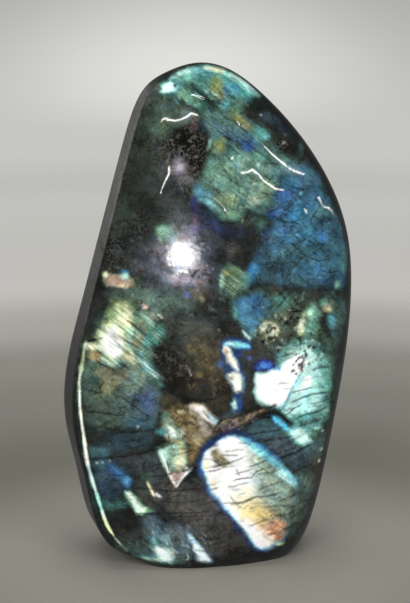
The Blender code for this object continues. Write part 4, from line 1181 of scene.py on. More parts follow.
# Cracks, as (places along it, width in mm, how dark). Most rise a little to the right, across the layers.
CRACKS = (
    (((-42.4,60.8), (-39.7,59.5), (-35.5,59.1)), 0.4, 0.8),
    (((-35.2,68.5), (-32.4,66.8), (-28.3,64)), 0.3, 0.7),
    (((-38.6,69.8), (-34,67.2), (-29.5,64.6), (-26,61.6)), 0.3, 0.6),
    (((-29.7,76.7), (-25.5,74.2), (-21.4,72)), 0.3, 0.7),
    (((-32.8,59), (-28.3,56.5), (-25.5,54.4), (-22.1,52.1), (-20,51.7)), 0.35, 0.75),
    (((-41.7,52.8), (-34.5,52.4), (-30.7,51.9), (-28.3,52.1)), 0.5, 0.9),
    (((-28.3,52.1), (-25,50.6), (-22,50.2)), 0.4, 0.7),
    (((-40,48.2), (-34,47.6), (-28.3,46.2), (-23.4,47.1), (-17.6,47.3)), 0.3, 0.7),
    (((-29,41), (-21.4,42.7), (-13.4,44.1)), 0.3, 0.7),
    (((-41.7,37), (-30.9,38.3), (-23.2,39.8), (-13.8,42.9)), 0.5, 0.9),
    (((-17.2,32.7), (-10,33.6), (-5,35.1)), 0.4, 0.8),
    (((-15,38.5), (-10,40), (-6.5,40.7)), 0.35, 0.8),
    (((-23.2,31.6), (-13.8,32.7)), 0.4, 0.8),
    (((-28.1,27.3), (-25,28), (-14,27), (-3,28)), 0.35, 0.8),
    (((-34.4,20), (-30.2,19.3), (-16.2,19.4), (0,20)), 0.4, 0.8),
    (((-38,24.4), (-33,23.6), (-28,23.8)), 0.3, 0.6),
    (((-20,23.6), (-11,23), (-3.2,24.2)), 0.3, 0.6),
    (((-1.5,35.3), (3.4,36), (9.3,38)), 0.4, 0.8),
    (((-4,33.1), (-1.8,33.6), (2.8,34.7), (6,35.1)), 0.4, 0.8),
    (((9.6,34.2), (13.5,35.5), (17.2,36.6)), 0.45, 0.9),
    (((4.2,29.7), (7.8,30.6), (11,30.8), (12.5,32.7), (17.2,33.8)), 0.45, 0.9),
    (((12.5,31.8), (17.2,32.1), (21,33.4)), 0.3, 0.7),
    (((6,34), (7.3,31.4)), 0.3, 0.7),
    (((-2.5,27.1), (0.3,28)), 0.3, 0.7),
    (((4.2,25), (5.7,22.1)), 0.3, 0.7),
    (((3,22.4), (8.5,22.6), (13.2,24.3), (16.8,24.2), (21.6,25.1)), 0.6, 1),
    (((13.2,26.5), (17.2,28), (22,29)), 0.4, 0.8),
    (((20.5,22.3), (25,23.3), (27.6,24)), 0.4, 0.8),
    (((10,14.2), (13.2,15.3), (17.2,16.3)), 0.35, 0.7),
    (((15.7,10.8), (18.7,11.1), (22.4,11.9), (26.5,13)), 0.5, 0.9),
    (((14,20.4), (19,20.6), (24.4,20)), 0.35, 0.7),
    (((18,16.4), (22,17.4), (26,17.6)), 0.3, 0.7),
    (((8.7,45), (17.1,45.7), (21.6,46)), 0.5, 0.9),
    (((19,36), (22.4,37.1), (26.1,38.4), (28.7,39.5), (32,40.8)), 0.7, 1),
    (((8,43.2), (14,42.6), (20,43.2), (26,43.8)), 0.35, 0.8),
    (((24,31.4), (28,32.8), (32,33.4)), 0.4, 0.8),
    (((22.6,54.5), (28.5,56.3), (31,57), (37.3,57)), 0.5, 0.9),
    (((23.7,57.9), (27.7,58.8), (32.1,59.5)), 0.4, 0.9),
    (((19.6,61.1), (22.6,61.3)), 0.3, 0.7),
    (((21.5,52), (24.4,52.9), (27.7,53.8)), 0.4, 0.8),
    (((31,64.9), (33.2,65.6), (37.3,65.6)), 0.7, 1),
    (((24.4,49.3), (26.6,49.8), (31,50.7), (37.3,52.2)), 0.6, 0.95),
    (((25.6,46.9), (30.6,47.4), (36,48.6)), 0.4, 0.8),
    (((30,54), (34,54.2), (38.4,55)), 0.4, 0.8),
    (((16.6,53.4), (19.4,52.2), (21.1,50.5), (23.3,48.2), (26,47)), 1.3, 1),
    (((15.8,115.3), (20.9,116.6), (24.6,117.9), (27.1,119.5)), 0.4, 0.8),
    (((18,115.2), (20.2,113.4), (22.4,112.4), (25.7,112.2), (27.8,111.3)), 0.45, 0.85),
    (((27.8,107.5), (30,106.1), (33.3,104.9), (36.2,105)), 0.4, 0.8),
    (((31.9,110.6), (33,109.2)), 0.4, 0.8),
    (((23.5,106.1), (25.7,104.4), (28.2,102.3)), 0.35, 0.8),
    (((20.5,105.7), (22.4,106.8)), 0.35, 0.8),
    (((25.7,96.7), (28.2,93.9), (30,92.3), (31.9,91.5)), 0.4, 0.8),
    (((34,96.7), (37,96), (40.6,96)), 0.45, 0.9),
    (((30,101), (34,99.8), (38.6,100.4)), 0.35, 0.7),
    (((32,113.4), (36,112), (40,112.4)), 0.35, 0.7),
    (((22,124.6), (26,122.8), (30.4,122.4)), 0.35, 0.7),
    (((21.6,109.6), (25,108.6), (28.6,109.4)), 0.3, 0.6),
    (((17.4,100.2), (21,99.2), (24.8,99.8)), 0.3, 0.6),
    (((6.1,144.4), (10.7,140.3)), 0.5, 0.9),
    (((1,141.6), (4.6,138.6), (9,136.6)), 0.35, 0.7),
    (((-4.6,121), (-0.6,120.2), (2.6,117.2), (4.6,113.4)), 0.35, 0.7),
    (((3,127.6), (6.6,124.6), (11.6,122.8)), 0.3, 0.6),
    (((11,131), (14.6,127.6), (19,125.4)), 0.3, 0.6),
    (((-42.8,74.9), (-39.6,75.5), (-36.2,76.3)), 0.5, 0.9),
    (((-6,151.6), (0.6,149.6), (6.4,148.4)), 0.35, 0.7),
    (((26.3,65.6), (27.2,66.8), (28.2,68.6), (27.6,70)), 0.8, 0.9),
    (((17,84), (20.6,82.4), (24,79), (27,76)), 0.5, 0.7),
    (((34.6,82), (35.6,79), (37.4,76.4)), 0.5, 0.8),
    (((-9.6,57.4), (-4,56.6), (1.6,57.8)), 0.4, 0.8),
)

# Where finer hairlines fill in between those: (left, low, right, high, how many, rise, spread in degrees).
HAIRLINES = (
    (14, 92, 40, 126, 38, 10, 45),
    (-4, 112, 20, 144, 34, -10, 50),
    (-8, 144, 16, 158, 16, -20, 25),
    (-40, 22, -16, 62, 34, 6, 14),
    (-16, 22, 22, 44, 26, 9, 6),
    (10, 8, 28, 24, 9, 10, 6),
    (18, 44, 38, 72, 20, 8, 8),
    (-30, 3, 6, 20, 16, 2, 10),
    (-36, 84, -23, 120, 5, -20, 60),
    (16, 72, 40, 92, 18, -20, 50),
)
HAIRLINE_SEED = 21
CRACK_SWAY, CRACK_REACH, REAR_REACH = 0.22, 0.26, 0.5  # corners this near are pulled on to a crack
CRACK_DEPTH, LONGEST_PULL = 0.16, 0.3


def wander(points, sway, seed):
    """A line through the points in half-millimetre steps that sways a little from side to side."""
    points = np.array(points, dtype=float)
    lengths = np.hypot(*np.diff(points, axis=0).T)
    so_far = np.append(0, np.cumsum(lengths))
    steps = np.linspace(0, so_far[-1], max(3, int(so_far[-1] / 0.5)))
    x = np.interp(steps, so_far, points[:, 0])
    z = np.interp(steps, so_far, points[:, 1])
    fade = np.minimum(1, np.minimum(steps, so_far[-1] - steps) / 2)
    x += sway * fade * waves(steps, 0 * steps, 2.3, seed)
    z += sway * fade * waves(steps, 0 * steps, 1.7, seed + 3)
    return list(zip(x, z))


def cut_crack(surface, points, width, dark, seed, reach=CRACK_REACH):
    """Pulls the corners within reach of a line on to it, sinks them, and marks them as cracked."""
    line = wander(points, CRACK_SWAY, seed)
    where = np.where(surface.near(line, 1.5))[0]
    x, z = surface.x[where], surface.z[where]
    nearest, foot_x, foot_z = np.full(len(x), 1e9), x.copy(), z.copy()
    progress = np.zeros(len(x))
    for step, ((ax, az), (bx, bz)) in enumerate(zip(line, line[1:])):
        along = ((x - ax) * (bx - ax) + (z - az) * (bz - az)) / ((bx - ax) ** 2 + (bz - az) ** 2)
        along = np.clip(along, 0, 1)
        px, pz = ax + along * (bx - ax), az + along * (bz - az)
        away = np.hypot(x - px, z - pz)
        better = away < nearest
        nearest[better] = away[better]
        foot_x[better], foot_z[better] = px[better], pz[better]
        progress[better] = (step + along[better]) / (len(line) - 1)
    ends = smooth(0, 0.25, np.minimum(progress, 1 - progress) + 0.06)
    pull = (nearest < reach) * 0.85
    surface.move_x[where] += pull * (foot_x - x)
    surface.move_z[where] += pull * (foot_z - z)
    half = 0.5 * width
    mark = np.where(nearest < reach, 1.0, smooth(half + 0.25, half - 0.1, nearest) * (width > 0.45))
    mark = mark * dark * ends * (0.85 + 0.3 * surface.ragged[where])
    surface.crack[where] = np.maximum(surface.crack[where], mark)
    surface.sink[where] = np.maximum(surface.sink[where], CRACK_DEPTH * mark * min(1.0, width / 0.4))


def cut_hairlines(surface, fields, seed, reach=CRACK_REACH):
    """Short fine cracks strewn over fields of the surface."""
    chance = np.random.default_rng(seed)
    for left, low, right, high, count, rise, spread in fields:
        for _ in range(count):
            x, z = chance.uniform(left, right), chance.uniform(low, high)
            heading = math.radians(chance.normal(rise, spread))
            length = chance.uniform(2.0, 7.5)
            bend = chance.normal(0, 0.2)
            line = []
            for share in (0, 0.35, 0.7, 1.0):
                way = heading + bend * share
                line.append((x + length * share * math.cos(way), z + length * share * math.sin(way)))
            cut_crack(surface, line, 0.25, chance.uniform(0.25, 0.75), int(chance.integers(1000)), reach)


def settle(surface, corners, steady):
    """Moves the surface's corners along it to the cracks, and in or out of it."""
    square = facing[corners]
    depth_wise = np.where(np.abs(square[:, 1]) < 0.25, 0.25 * np.sign(square[:, 1] + 1e-9), square[:, 1])
    move_x = np.clip(surface.move_x, -LONGEST_PULL, LONGEST_PULL) * steady
    move_z = np.clip(surface.move_z, -LONGEST_PULL, LONGEST_PULL) * steady
    at[corners, 0] += move_x
    at[corners, 2] += move_z
    at[corners, 1] -= (square[:, 0] * move_x + square[:, 2] * move_z) / depth_wise
    at[corners] -= (steady * surface.sink)[:, None] * square


for number, (points, width, dark) in enumerate(CRACKS):
    cut_crack(face, points, width, dark, number)
cut_hairlines(face, HAIRLINES, HAIRLINE_SEED)

# The fissure: an open seam across the middle, sunk below the polish, its floor rough and brown.
FISSURE = (
    (-0.6,46.4), (1,47.6), (3.6,48.6), (6.4,49.4), (9.4,50.4), (12.4,51.6), (15.4,53), (18.6,54),
)
FISSURE_WIDTHS = (1.6, 3.6, 4.6, 4.0, 3.2, 2.4, 1.9, 0.6)
FISSURE_DEPTH = 0.9
where = np.where(face.near(FISSURE, 3.0))[0]
depth = face.depth_along(where, FISSURE, FISSURE_WIDTHS) + 0.9 * face.ragged[where]
inside = smooth(-0.15, 0.35, depth)
broken = cloud(face.x[where], face.z[where], 1.1, 51, 4)
face.sink[where] = np.maximum(face.sink[where], inside * FISSURE_DEPTH * (0.7 + 0.6 * broken))
FISSURE_DARK, FISSURE_PALE, FISSURE_VIOLET = linear("#3c3430"), linear("#9c8c74"), linear("#5c546c")
floor_colour = FISSURE_DARK + smooth(-0.4, 0.6, broken)[:, None] * (FISSURE_PALE - FISSURE_DARK)
violet = smooth(0.1, 0.6, cloud(face.x[where], face.z[where], 1.6, 57, 2))[:, None]
floor_colour += 0.7 * violet * (FISSURE_VIOLET - floor_colour)
face.lay(where, floor_colour, inside)
face.dull[where] = np.maximum(face.dull[where], inside)
face.comb[where] *= 1 - inside
edge = smooth(0.75, 0.25, np.abs(depth - 0.1))
face.crack[where] = np.maximum(face.crack[where] * (1 - inside), 0.65 * edge * (0.7 + 0.8 * broken))

# Ridges that the polish left standing, as (places along them, widths in mm). They are raised a little and
# painted white, a painted highlight where they catch the lamp.
RIDGES = (
    (
        ((-16,144.2), (-15,144.9), (-13.4,144.4), (-11.9,144.1), (-9.8,144.6), (-8.1,145.4),
         (-6.7,146.4), (-5,145.9)),
        (0.2, 0.4, 0.3, 0.35, 0.25, 0.35, 0.5, 0.35),
    ),
    (((-14,130), (-14,128), (-15.4,125.4), (-16.8,122.2)), (0.4, 0.35, 0.2, 0.1)),
    (
        ((15.9,136.2), (18.8,133.3), (21.3,131.2), (23.9,129.1), (26.1,128), (28.6,127.1)),
        (0.1, 0.3, 0.3, 0.4, 0.5, 0.2),
    ),
    (
        ((8.6,128), (10.7,128.2), (11.9,128.9), (14.1,127.4), (15.5,125.5), (17.7,124),
         (19.5,122.8), (22,122.4)),
        (0.3, 0.4, 0.6, 0.35, 0.35, 0.4, 0.4, 0.2),
    ),
    (
        ((33.5,119.8), (34.6,117.8), (35.5,116.5), (37,116.2), (38,115.2), (38.6,113.4)),
        (0.1, 0.15, 0.4, 0.4, 0.2, 0.05),
    ),
    (((28.7,116.4), (29.5,115)), (0.1,0.15)),
)
RIDGE_HEIGHT = 0.12
for points, widths in RIDGES:
    where = np.where(face.near(points, 2.0))[0]
    depth = face.depth_along(where, points, widths)
    share = smooth(-0.22, 0.12, depth)
    face.painted_glint[where] = np.maximum(face.painted_glint[where], share)
    face.sink[where] -= RIDGE_HEIGHT * smooth(-0.5, 0.3, depth)
# Painted highlight: the ridges are painted white.
face.lay(slice(None), linear("#ffffff"), 0.97 * face.painted_glint)
face.crack *= 1 - face.painted_glint
settle(face, on_face, (facing[on_face, 1] < -0.45) + 0.0)

# Where the polish throws its sparkle.
SPARKLE_X, SPARKLE_Z = -10.2, 102.6
sparkle = on_face[np.argmin(np.hypot(at[on_face, 0] - SPARKLE_X, at[on_face, 2] - SPARKLE_Z))]
sparkle_place, sparkle_facing = at[sparkle], facing[sparkle]

# The back and the sides: the same polish over darker stone, with a few dim flashes and long cracks. The
# sides are painted by depth and height, the left one beyond -100 and the right one beyond 100.
around = np.where(roundness > 0.55)[0]
SIDE_APART = 100
rear = Surface(at[around, 0], at[around, 2], "#20231f")
side = Surface(at[around, 1] + SIDE_APART * np.sign(at[around, 0]), at[around, 2], "#1f221f")
rear.glows(
    ("#353d38", -18, 120, 22, 30, 0.9), ("#2c3a3c", 14, 132, 18, 20, 0.9), ("#3c4a42", 26, 96, 16, 22, 0.8),
    ("#47473c", -24, 78, 16, 20, 0.9), ("#33403e", 4, 62, 20, 16, 0.9), ("#3f4238", 24, 34, 18, 20, 0.9),
    ("#2b3740", -26, 30, 20, 18, 0.9), ("#121412", -4, 96, 10, 14, 0.9), ("#141614", 34, 66, 10, 12, 0.9),
    ("#151614", -6, 22, 12, 10, 0.8),
)
rear.flash("#2f4038", "#232a26", [
    (-30,60), (-34,84), (-30,104), (-20,112), (-8,104), (-4,88), (-10,72), (-20,60),
], 5, 3, 2.4, 0.8, comb=0.3)
rear.flash("#283c48", "#20282b", [
    (4,92), (2,108), (6,124), (16,132), (28,126), (38,108), (40,92), (28,84), (14,84),
], 5, 3, 2.4, 0.8, comb=0.3)
rear.flash("#2f4040", "#222826", [
    (-12,38), (-8,54), (4,64), (20,62), (32,50), (34,34), (20,26), (2,28),
], 5, 3, 2.4, 0.8, comb=0.3)
rear.flash("#35453c", "#242a26", [
    (-16,128), (-14,142), (-6,152), (6,154), (16,146), (18,134), (8,124), (-6,122),
], 5, 3, 2.4, 0.8, comb=0.3)
rear.flash("#2c5f86", "#26383e", [
    (8,118), (14,124), (22,122), (29,113), (33,103), (30,94), (22,92), (14,97), (9,107),
], 3.2, 1.6, 1.4, 0.9, comb=0.5)
rear.glows(
    ("#3a7ca8", 21, 112, 6, 6, 0.8), ("#3f8088", 26, 101, 4, 5, 0.7),
)
rear.flash("#4c6c5a", "#2c3a34", [
    (-30,96), (-24,103), (-15,101), (-9,92), (-12,83), (-20,78), (-28,81), (-33,88),
], 3, 1.6, 1.4, 0.9, comb=0.6)
rear.glows(
    ("#8a8a58", -20, 92, 5, 4, 0.75, -30), ("#6c9a84", -24, 86, 4, 4, 0.7),
)
rear.flash("#3c6470", "#28363a", [
    (-2,54), (6,58), (16,53), (22,43), (18,36), (8,38), (0,45),
], 2.6, 1.5, 1.4, 0.9, comb=0.6)
rear.glow("#6ca4a4", 9, 49, 4.6, 3.4, 0.75, -38)
rear.flash("#2b4c78", "#252f3c", [
    (-30,50), (-22,54), (-15,47), (-17,38), (-25,34), (-32,40),
], 2.4, 1.5, 1.3, 0.85, comb=0.5)
rear.flash("#55705c", "#2c3833", [
    (-8,142), (2,148), (10,143), (9,134), (0,130), (-8,134),
], 2.6, 1.5, 1.3, 0.85, comb=0.6)
rear.glows(
    ("#7c8a5c", 1, 139, 4, 3, 0.7, -30), ("#4f5c6c", -4, 12, 12, 5, 0.8),
)
rear.flash("#9fc4b4", "#4c6c66", [
    (17,118), (20,119), (24,112), (26,105), (24,104), (21,110),
], 1.4, 0.9, 0.9, 0.5, comb=0.6)
rear.flash("#c4c89c", "#5c6a50", [
    (-26,95), (-24,96.4), (-19,91), (-16,86), (-18,85.4), (-22,90),
], 1.4, 0.9, 0.9, 0.5, comb=0.6)
rear.flash("#88bcc4", "#3c6470", [
    (2,50), (4,52), (9,47), (13,41), (11,40.4), (6,45),
], 1.4, 0.9, 0.9, 0.5, comb=0.6)
rear.flash("#5c4f3c", "#2c2a24", [
    (26,20), (32,25), (37,22), (36,14), (30,10), (25,13),
], 2, 1.2, 1.2, 0.9)
rear.glows(
    ("#3c6490", -24, 62, 5, 3, 0.6, -30), ("#4c7c78", 32, 78, 3, 6, 0.6),
)
rear.lace_over(-2, 108, 10, 9, 0.7)
rear.lace_over(30, 70, 9, 9, 0.6)
side.glows(
    ("#33403c", 102, 120, 16, 20, 0.9), ("#2a3c48", 98, 96, 12, 16, 0.9), ("#3d4438", 104, 60, 14, 18, 0.9),
    ("#2e3a38", 100, 24, 14, 16, 0.9), ("#3a6070", 92, 104, 6, 8, 0.8), ("#4c7068", 94, 62, 5, 9, 0.8),
    ("#6b6448", 97, 32, 5, 6, 0.7), ("#141614", 110, 84, 8, 9, 0.9), ("#3a3f3a", -100, 120, 16, 24, 0.9),
    ("#33372f", -102, 50, 16, 24, 0.9),
)
REAR_CRACKS = (
    (((-34,62), (-24,66), (-12,65), (-2,69), (10,68), (22,72), (36,71)), 0.8, 0.9),
    (((-18,132), (-10,126), (-4,117), (4,112), (9,103)), 0.7, 0.85),
    (((-30,26), (-18,29), (-6,28), (6,33), (20,32), (32,36)), 0.7, 0.9),
    (((14,140), (18,130), (26,124)), 0.6, 0.8),
    (((-36,44), (-30,43), (-22,46)), 0.6, 0.8),
    (((12,92), (18,86), (28,84)), 0.6, 0.8),
    (((-14,12), (-2,14), (12,12), (22,16)), 0.6, 0.85),
    (((-38,98), (-30,94), (-26,88)), 0.6, 0.75),
)
REAR_HAIRLINES = (
    (-34, 74, -8, 104, 22, -30, 40),
    (6, 90, 34, 124, 26, 20, 50),
    (-34, 10, 34, 56, 40, 8, 16),
    (-12, 104, 18, 148, 20, -35, 40),
)
REAR_SEED, REAR_HAIRLINE_SEED = 200, 45
for number, (points, width, dark) in enumerate(REAR_CRACKS):
    cut_crack(rear, points, width, dark, REAR_SEED + number, REAR_REACH)
cut_hairlines(rear, REAR_HAIRLINES, REAR_HAIRLINE_SEED, REAR_REACH)
behind = facing[around, 1] > 0.5
rear.crack *= behind
settle(rear, around, behind + 0.0)

# The rim turns from the face's painting to the sides' and the back's.
sideways = smooth(0.5, 0.85, np.abs(facing[around, 0]))
turned_away = np.zeros(len(at))
turned_away[around] = 1.0
turned_away[on_face] = smooth(0.62, 0.98, roundness[on_face])


def joined(on_front, on_rear, on_side):
    """A value for every corner of the stone, from the three paintings."""
    front = np.zeros((len(at),) + on_front.shape[1:])
    rest = np.zeros_like(front)
    fit = (slice(None),) + (None,) * (on_front.ndim - 1)
    front[on_face] = on_front
    rest[around] = on_rear + sideways[fit] * (on_side - on_rear)
    return front + turned_away[fit] * (rest - front)


colour = joined(face.colour, rear.colour, side.colour)
crack = joined(face.crack, rear.crack, side.crack)
lace = joined(face.lace, rear.lace, side.lace)
comb = joined(face.comb, rear.comb + 0.2, side.comb + 0.1)
dull = joined(face.dull, rear.dull, side.dull)
# The left flank is ground flat and plain, painted grey as a painted reflection of the pale backdrop, lighter
# towards the top; the sawn base is left rough.
flank = smooth(-0.62, -0.8, facing[:, 0]) * smooth(0.1, 0.3, roundness) * smooth(1.9, 1.3, roundness)
height = at[:, 2]
FLANK_HEIGHTS = (0, 20, 45, 62, 80, 100, 125, 150)
FLANK_REFLECTION_GREYS = (0.02, 0.02, 0.018, 0.026, 0.07, 0.13, 0.17, 0.16)
flank_reflection = np.interp(height, FLANK_HEIGHTS, FLANK_REFLECTION_GREYS)
flank_reflection = flank_reflection * (1 + 0.16 * cloud(height, at[:, 1], 6.0, 31, 3))
colour += flank[:, None] * (flank_reflection[:, None] * np.array([1.0, 0.99, 0.97]) - colour)
comb *= 1 - flank
plain = 0.85 * flank
sawn = roundness > 2.5
colour[sawn] = linear("#5c5a54")
dull[sawn] = 1.0
crack[sawn] = 0.0

for vert, place in zip(stone_verts, at * MM):
    vert.co = place
stone_mesh = bpy.data.meshes.new("labradorite_stone")
stone_shape.to_mesh(stone_mesh)
stone_shape.free()
stone_mesh.shade_smooth()
stone = bpy.data.objects.new("labradorite_stone", stone_mesh)
bpy.context.scene.collection.objects.link(stone)
kept = stone_mesh.attributes.new("flash colour", "FLOAT_COLOR", "POINT")
kept.data.foreach_set("color", np.hstack([colour, np.ones((len(colour), 1))]).ravel())
MASKS = (("crack", crack), ("lace", lace), ("comb", comb), ("dull", dull), ("plain", plain))
for name, values in MASKS:
    stone_mesh.attributes.new(name, "FLOAT", "POINT").data.foreach_set("value", values)


def add(tree, kind, out=None, **given):
    """Adds a node and returns one output: the named one, or else the first that is in use.

    A name in small letters is a setting of the node. The others are its inputs, by name or as i and a
    number: a number, a colour or another node's output. MapRange takes i1 to i2 on to i3 to i4.
    """
    made = tree.nodes.new("ShaderNode" + kind)
    for name, value in given.items():
        if hasattr(made, name):
            setattr(made, name, value)
            continue
        socket = made.inputs[int(name[1:])] if name[0] == "i" and name[1:].isdigit() else made.inputs[name]
        if isinstance(value, bpy.types.NodeSocket):
            tree.links.new(value, socket)
        else:
            socket.default_value = value
    return made.outputs[out] if out else next(socket for socket in made.outputs if socket.enabled)


# Polished labradorite, a dark clouded feldspar ground smooth under a glassy polish: a dim stone with
# bright flashes, broken up by its grain and by the edges of its layers, which comb down to the right.
finish = bpy.data.materials.new("polished labradorite")
finish.use_nodes = True
tree = finish.node_tree
shader = tree.nodes["Principled BSDF"]
shader.inputs["IOR"].default_value = 1.56
shader.inputs["Specular IOR Level"].default_value = 0.0
shader.inputs["Coat Roughness"].default_value = 0.09
shader.inputs["Coat IOR"].default_value = 1.56
# Sizes in millimetres, from one crest, thread or joint to the next.
CLOUD_SIZE, GRAIN_SIZE, HUE_SIZE, FLECK_SIZE, RIPPLE_SIZE = 5.0, 0.8, 3.2, 0.42, 2.6
COMB_LONG, COMB_APART, EDGE_LONG, EDGE_APART = 9.0, 1.1, 16.0, 0.5
LACE_SIZE, LACE_BEND_SIZE, LACE_BEND = 1.5, 1.4, 1.6
VEIN_SIZE, VEIN_BEND_SIZE, VEIN_BEND = 4.6, 3.4, 5.0
in_mm = add(tree, "Mapping", Vector=add(tree, "TexCoord", "Object"), Scale=(1000, 1000, 1000))
painted = add(tree, "Attribute", "Color", attribute_name="flash colour")
crack, lace, comb, dull, plain = [add(tree, "Attribute", "Fac", attribute_name=name) for name, _ in MASKS]
clouds = add(tree, "TexNoise", Vector=in_mm, Scale=1 / CLOUD_SIZE, Detail=6.0, Roughness=0.62)
grain = add(tree, "TexNoise", Vector=in_mm, Scale=1 / GRAIN_SIZE, Detail=3.0, Roughness=0.6)
turned = add(tree, "Mapping", Vector=in_mm, Rotation=(0, COMB_TURN, 0))
drawn = add(tree, "Mapping", Vector=turned, Scale=(1 / COMB_LONG, 1 / COMB_LONG, 1 / COMB_APART))
layers = add(tree, "TexNoise", Vector=drawn, Scale=1.0, Detail=3.0, Roughness=0.55)
cloud_light = add(tree, "MapRange", Value=clouds, i1=0.3, i2=0.7, i3=0.3, i4=1.7)
grain_light = add(tree, "MapRange", Value=grain, i1=0.3, i2=0.7, i3=0.74, i4=1.26)
layer_light = add(tree, "MapRange", Value=layers, i1=0.3, i2=0.7, i3=-0.6, i4=0.6)
combed = add(tree, "Math", operation="MULTIPLY_ADD", i0=layer_light, i1=comb, i2=1.06)
# The layers' own edges show as fine dark lines.
edges_place = add(tree, "Mapping", Vector=turned, Scale=(1 / EDGE_LONG, 1 / EDGE_LONG, 1 / EDGE_APART))
edges = add(tree, "TexNoise", Vector=edges_place, Scale=1.0, Detail=1.5, Roughness=0.5)
edge_light = add(tree, "MapRange", Value=edges, i1=0.36, i2=0.47, i3=-0.62, i4=0.0)
edged = add(tree, "Math", operation="MULTIPLY_ADD", i0=edge_light, i1=comb, i2=1.0)
combed = add(tree, "Math", operation="MULTIPLY", i0=combed, i1=edged)
light = add(tree, "Math", operation="MULTIPLY", i0=cloud_light, i1=grain_light)
light = add(tree, "Math", operation="MULTIPLY", i0=light, i1=combed)
# The brightest flashes glare evenly, and the ground flank is even too.
brightness = add(tree, "RGBToBW", Color=painted)
glare = add(tree, "MapRange", Value=brightness, i1=0.45, i2=0.95, i3=0.0, i4=0.85)
even = add(tree, "Math", operation="MAXIMUM", i0=glare, i1=plain)
light = add(tree, "Mix", data_type="FLOAT", i0=even, i2=light, i3=1.05)
# Elsewhere the colour drifts a little between cool and warm.
hue = add(tree, "TexNoise", Vector=in_mm, Scale=1 / HUE_SIZE, Detail=4.0, Roughness=0.6, Distortion=0.6)
hue_share = add(tree, "MapRange", Value=hue, i1=0.38, i2=0.62)
hue_tint = add(tree, "Mix", data_type="RGBA", i0=hue_share, i6=(0.9, 1.0, 1.12, 1), i7=(1.1, 1.02, 0.88, 1))
hue_tint = add(tree, "Mix", data_type="RGBA", i0=even, i6=hue_tint, i7=(1.0, 1.0, 1.0, 1))
lit = add(tree, "VectorMath", operation="SCALE", i0=painted, Scale=light)
tinted = add(tree, "VectorMath", operation="MULTIPLY", i0=lit, i1=hue_tint)
# Lace: a net of pale threads where the rock is broken fine; and pale flecks and dark pits all over.
bent = add(tree, "TexNoise", "Color", Vector=in_mm, Scale=1 / LACE_BEND_SIZE, Detail=2.0)
bent_place = add(tree, "VectorMath", operation="MULTIPLY_ADD", i0=bent, i1=(LACE_BEND,) * 3, i2=in_mm)
net = add(tree, "TexVoronoi", feature="DISTANCE_TO_EDGE", Vector=bent_place, Scale=1 / LACE_SIZE)
thread = add(tree, "MapRange", Value=net, i1=0.1, i2=0.02)
broken = add(tree, "MapRange", Value=grain, i1=0.42, i2=0.6)
thread = add(tree, "Math", operation="MULTIPLY", i0=thread, i1=broken)
threaded = add(tree, "Math", operation="MULTIPLY", i0=thread, i1=lace)
laced = add(tree, "Mix", data_type="RGBA", i0=threaded, i6=tinted, i7=(*linear("#6c6a68"), 1))
fleck = add(tree, "TexNoise", Vector=in_mm, Scale=1 / FLECK_SIZE, Detail=1.0)
fleck_share = add(tree, "MapRange", Value=fleck, i1=0.72, i2=0.8, i3=0.0, i4=0.35)
flecked = add(tree, "Mix", data_type="RGBA", i0=fleck_share, i6=laced, i7=(*linear("#a8b0ac"), 1))
pit_share = add(tree, "MapRange", Value=fleck, i1=0.3, i2=0.24, i3=0.0, i4=0.6)
pitted = add(tree, "Mix", data_type="RGBA", i0=pit_share, i6=flecked, i7=(*linear("#0c0e0c"), 1))
# Veins: a wide net of fine dark joints, open in some places, healed in others and lost in the glare.
swayed = add(tree, "TexNoise", "Color", Vector=in_mm, Scale=1 / VEIN_BEND_SIZE, Detail=3.0)
vein_place = add(tree, "VectorMath", operation="MULTIPLY_ADD", i0=swayed, i1=(VEIN_BEND,) * 3, i2=in_mm)
veins = add(tree, "TexVoronoi", feature="DISTANCE_TO_EDGE", Vector=vein_place, Scale=1 / VEIN_SIZE)
vein = add(tree, "MapRange", Value=veins, i1=0.045, i2=0.005)
opened = add(tree, "MapRange", Value=hue, i1=0.42, i2=0.6, i3=0.0, i4=0.75)
calm = add(tree, "MapRange", Value=brightness, i1=0.12, i2=0.5, i3=1.0, i4=0.0)
opened = add(tree, "Math", operation="MULTIPLY", i0=opened, i1=calm)
vein_share = add(tree, "Math", operation="MULTIPLY", i0=vein, i1=opened)
veined = add(tree, "Mix", data_type="RGBA", i0=vein_share, i6=pitted, i7=(*linear("#101210"), 1))
cracked = add(tree, "Mix", data_type="RGBA", i0=crack, i6=veined, i7=(*linear("#0e0f0d"), 1))
tree.links.new(cracked, shader.inputs["Base Color"])
# Broken and sawn places are rough and have no glaze; the polish itself ripples a very little.
tree.links.new(add(tree, "MapRange", Value=dull, i3=0.38, i4=0.85), shader.inputs["Roughness"])
tree.links.new(add(tree, "MapRange", Value=dull, i3=1.0, i4=0.0), shader.inputs["Coat Weight"])
ripple = add(tree, "TexNoise", Vector=in_mm, Scale=1 / RIPPLE_SIZE, Detail=3.0)
relief = add(tree, "Bump", Strength=0.06, Distance=0.0006, Height=ripple)
tree.links.new(relief, shader.inputs["Normal"])
tree.links.new(relief, shader.inputs["Coat Normal"])
stone_mesh.materials.append(finish)
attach(stone, "root")
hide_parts("labradorite_freeform")

# ---------------------------------------------------------------------------------------------
# The floor
# A plain sheet of matt paper that the stone stands on, painted darker close to it and paler further off as
# painted shade and light, and the same paper swept up all round as a wall.
# ---------------------------------------------------------------------------------------------
FLOOR_RADIUS, WALL_BEND, WALL_HIGH, WALL_STEPS = 1.5, 0.8, 1.6, 12
SPIN_STEPS, SPIN_SEAM = 96, 1e-5
# The paper's painted tone at distances in metres from the stone's foot: painted shade near it and painted
# light further off.
PAINTED_FLOOR_TONES = (
    (0.00, "#9c998e"), (0.05, "#96938a"), (0.11, "#7c7b71"), (0.19, "#8b8a81"), (0.26, "#95938a"),
    (0.34, "#b4b1aa"), (0.46, "#d5d3ce"), (0.80, "#dadad5"), (1.00, "#cecfca"),
)


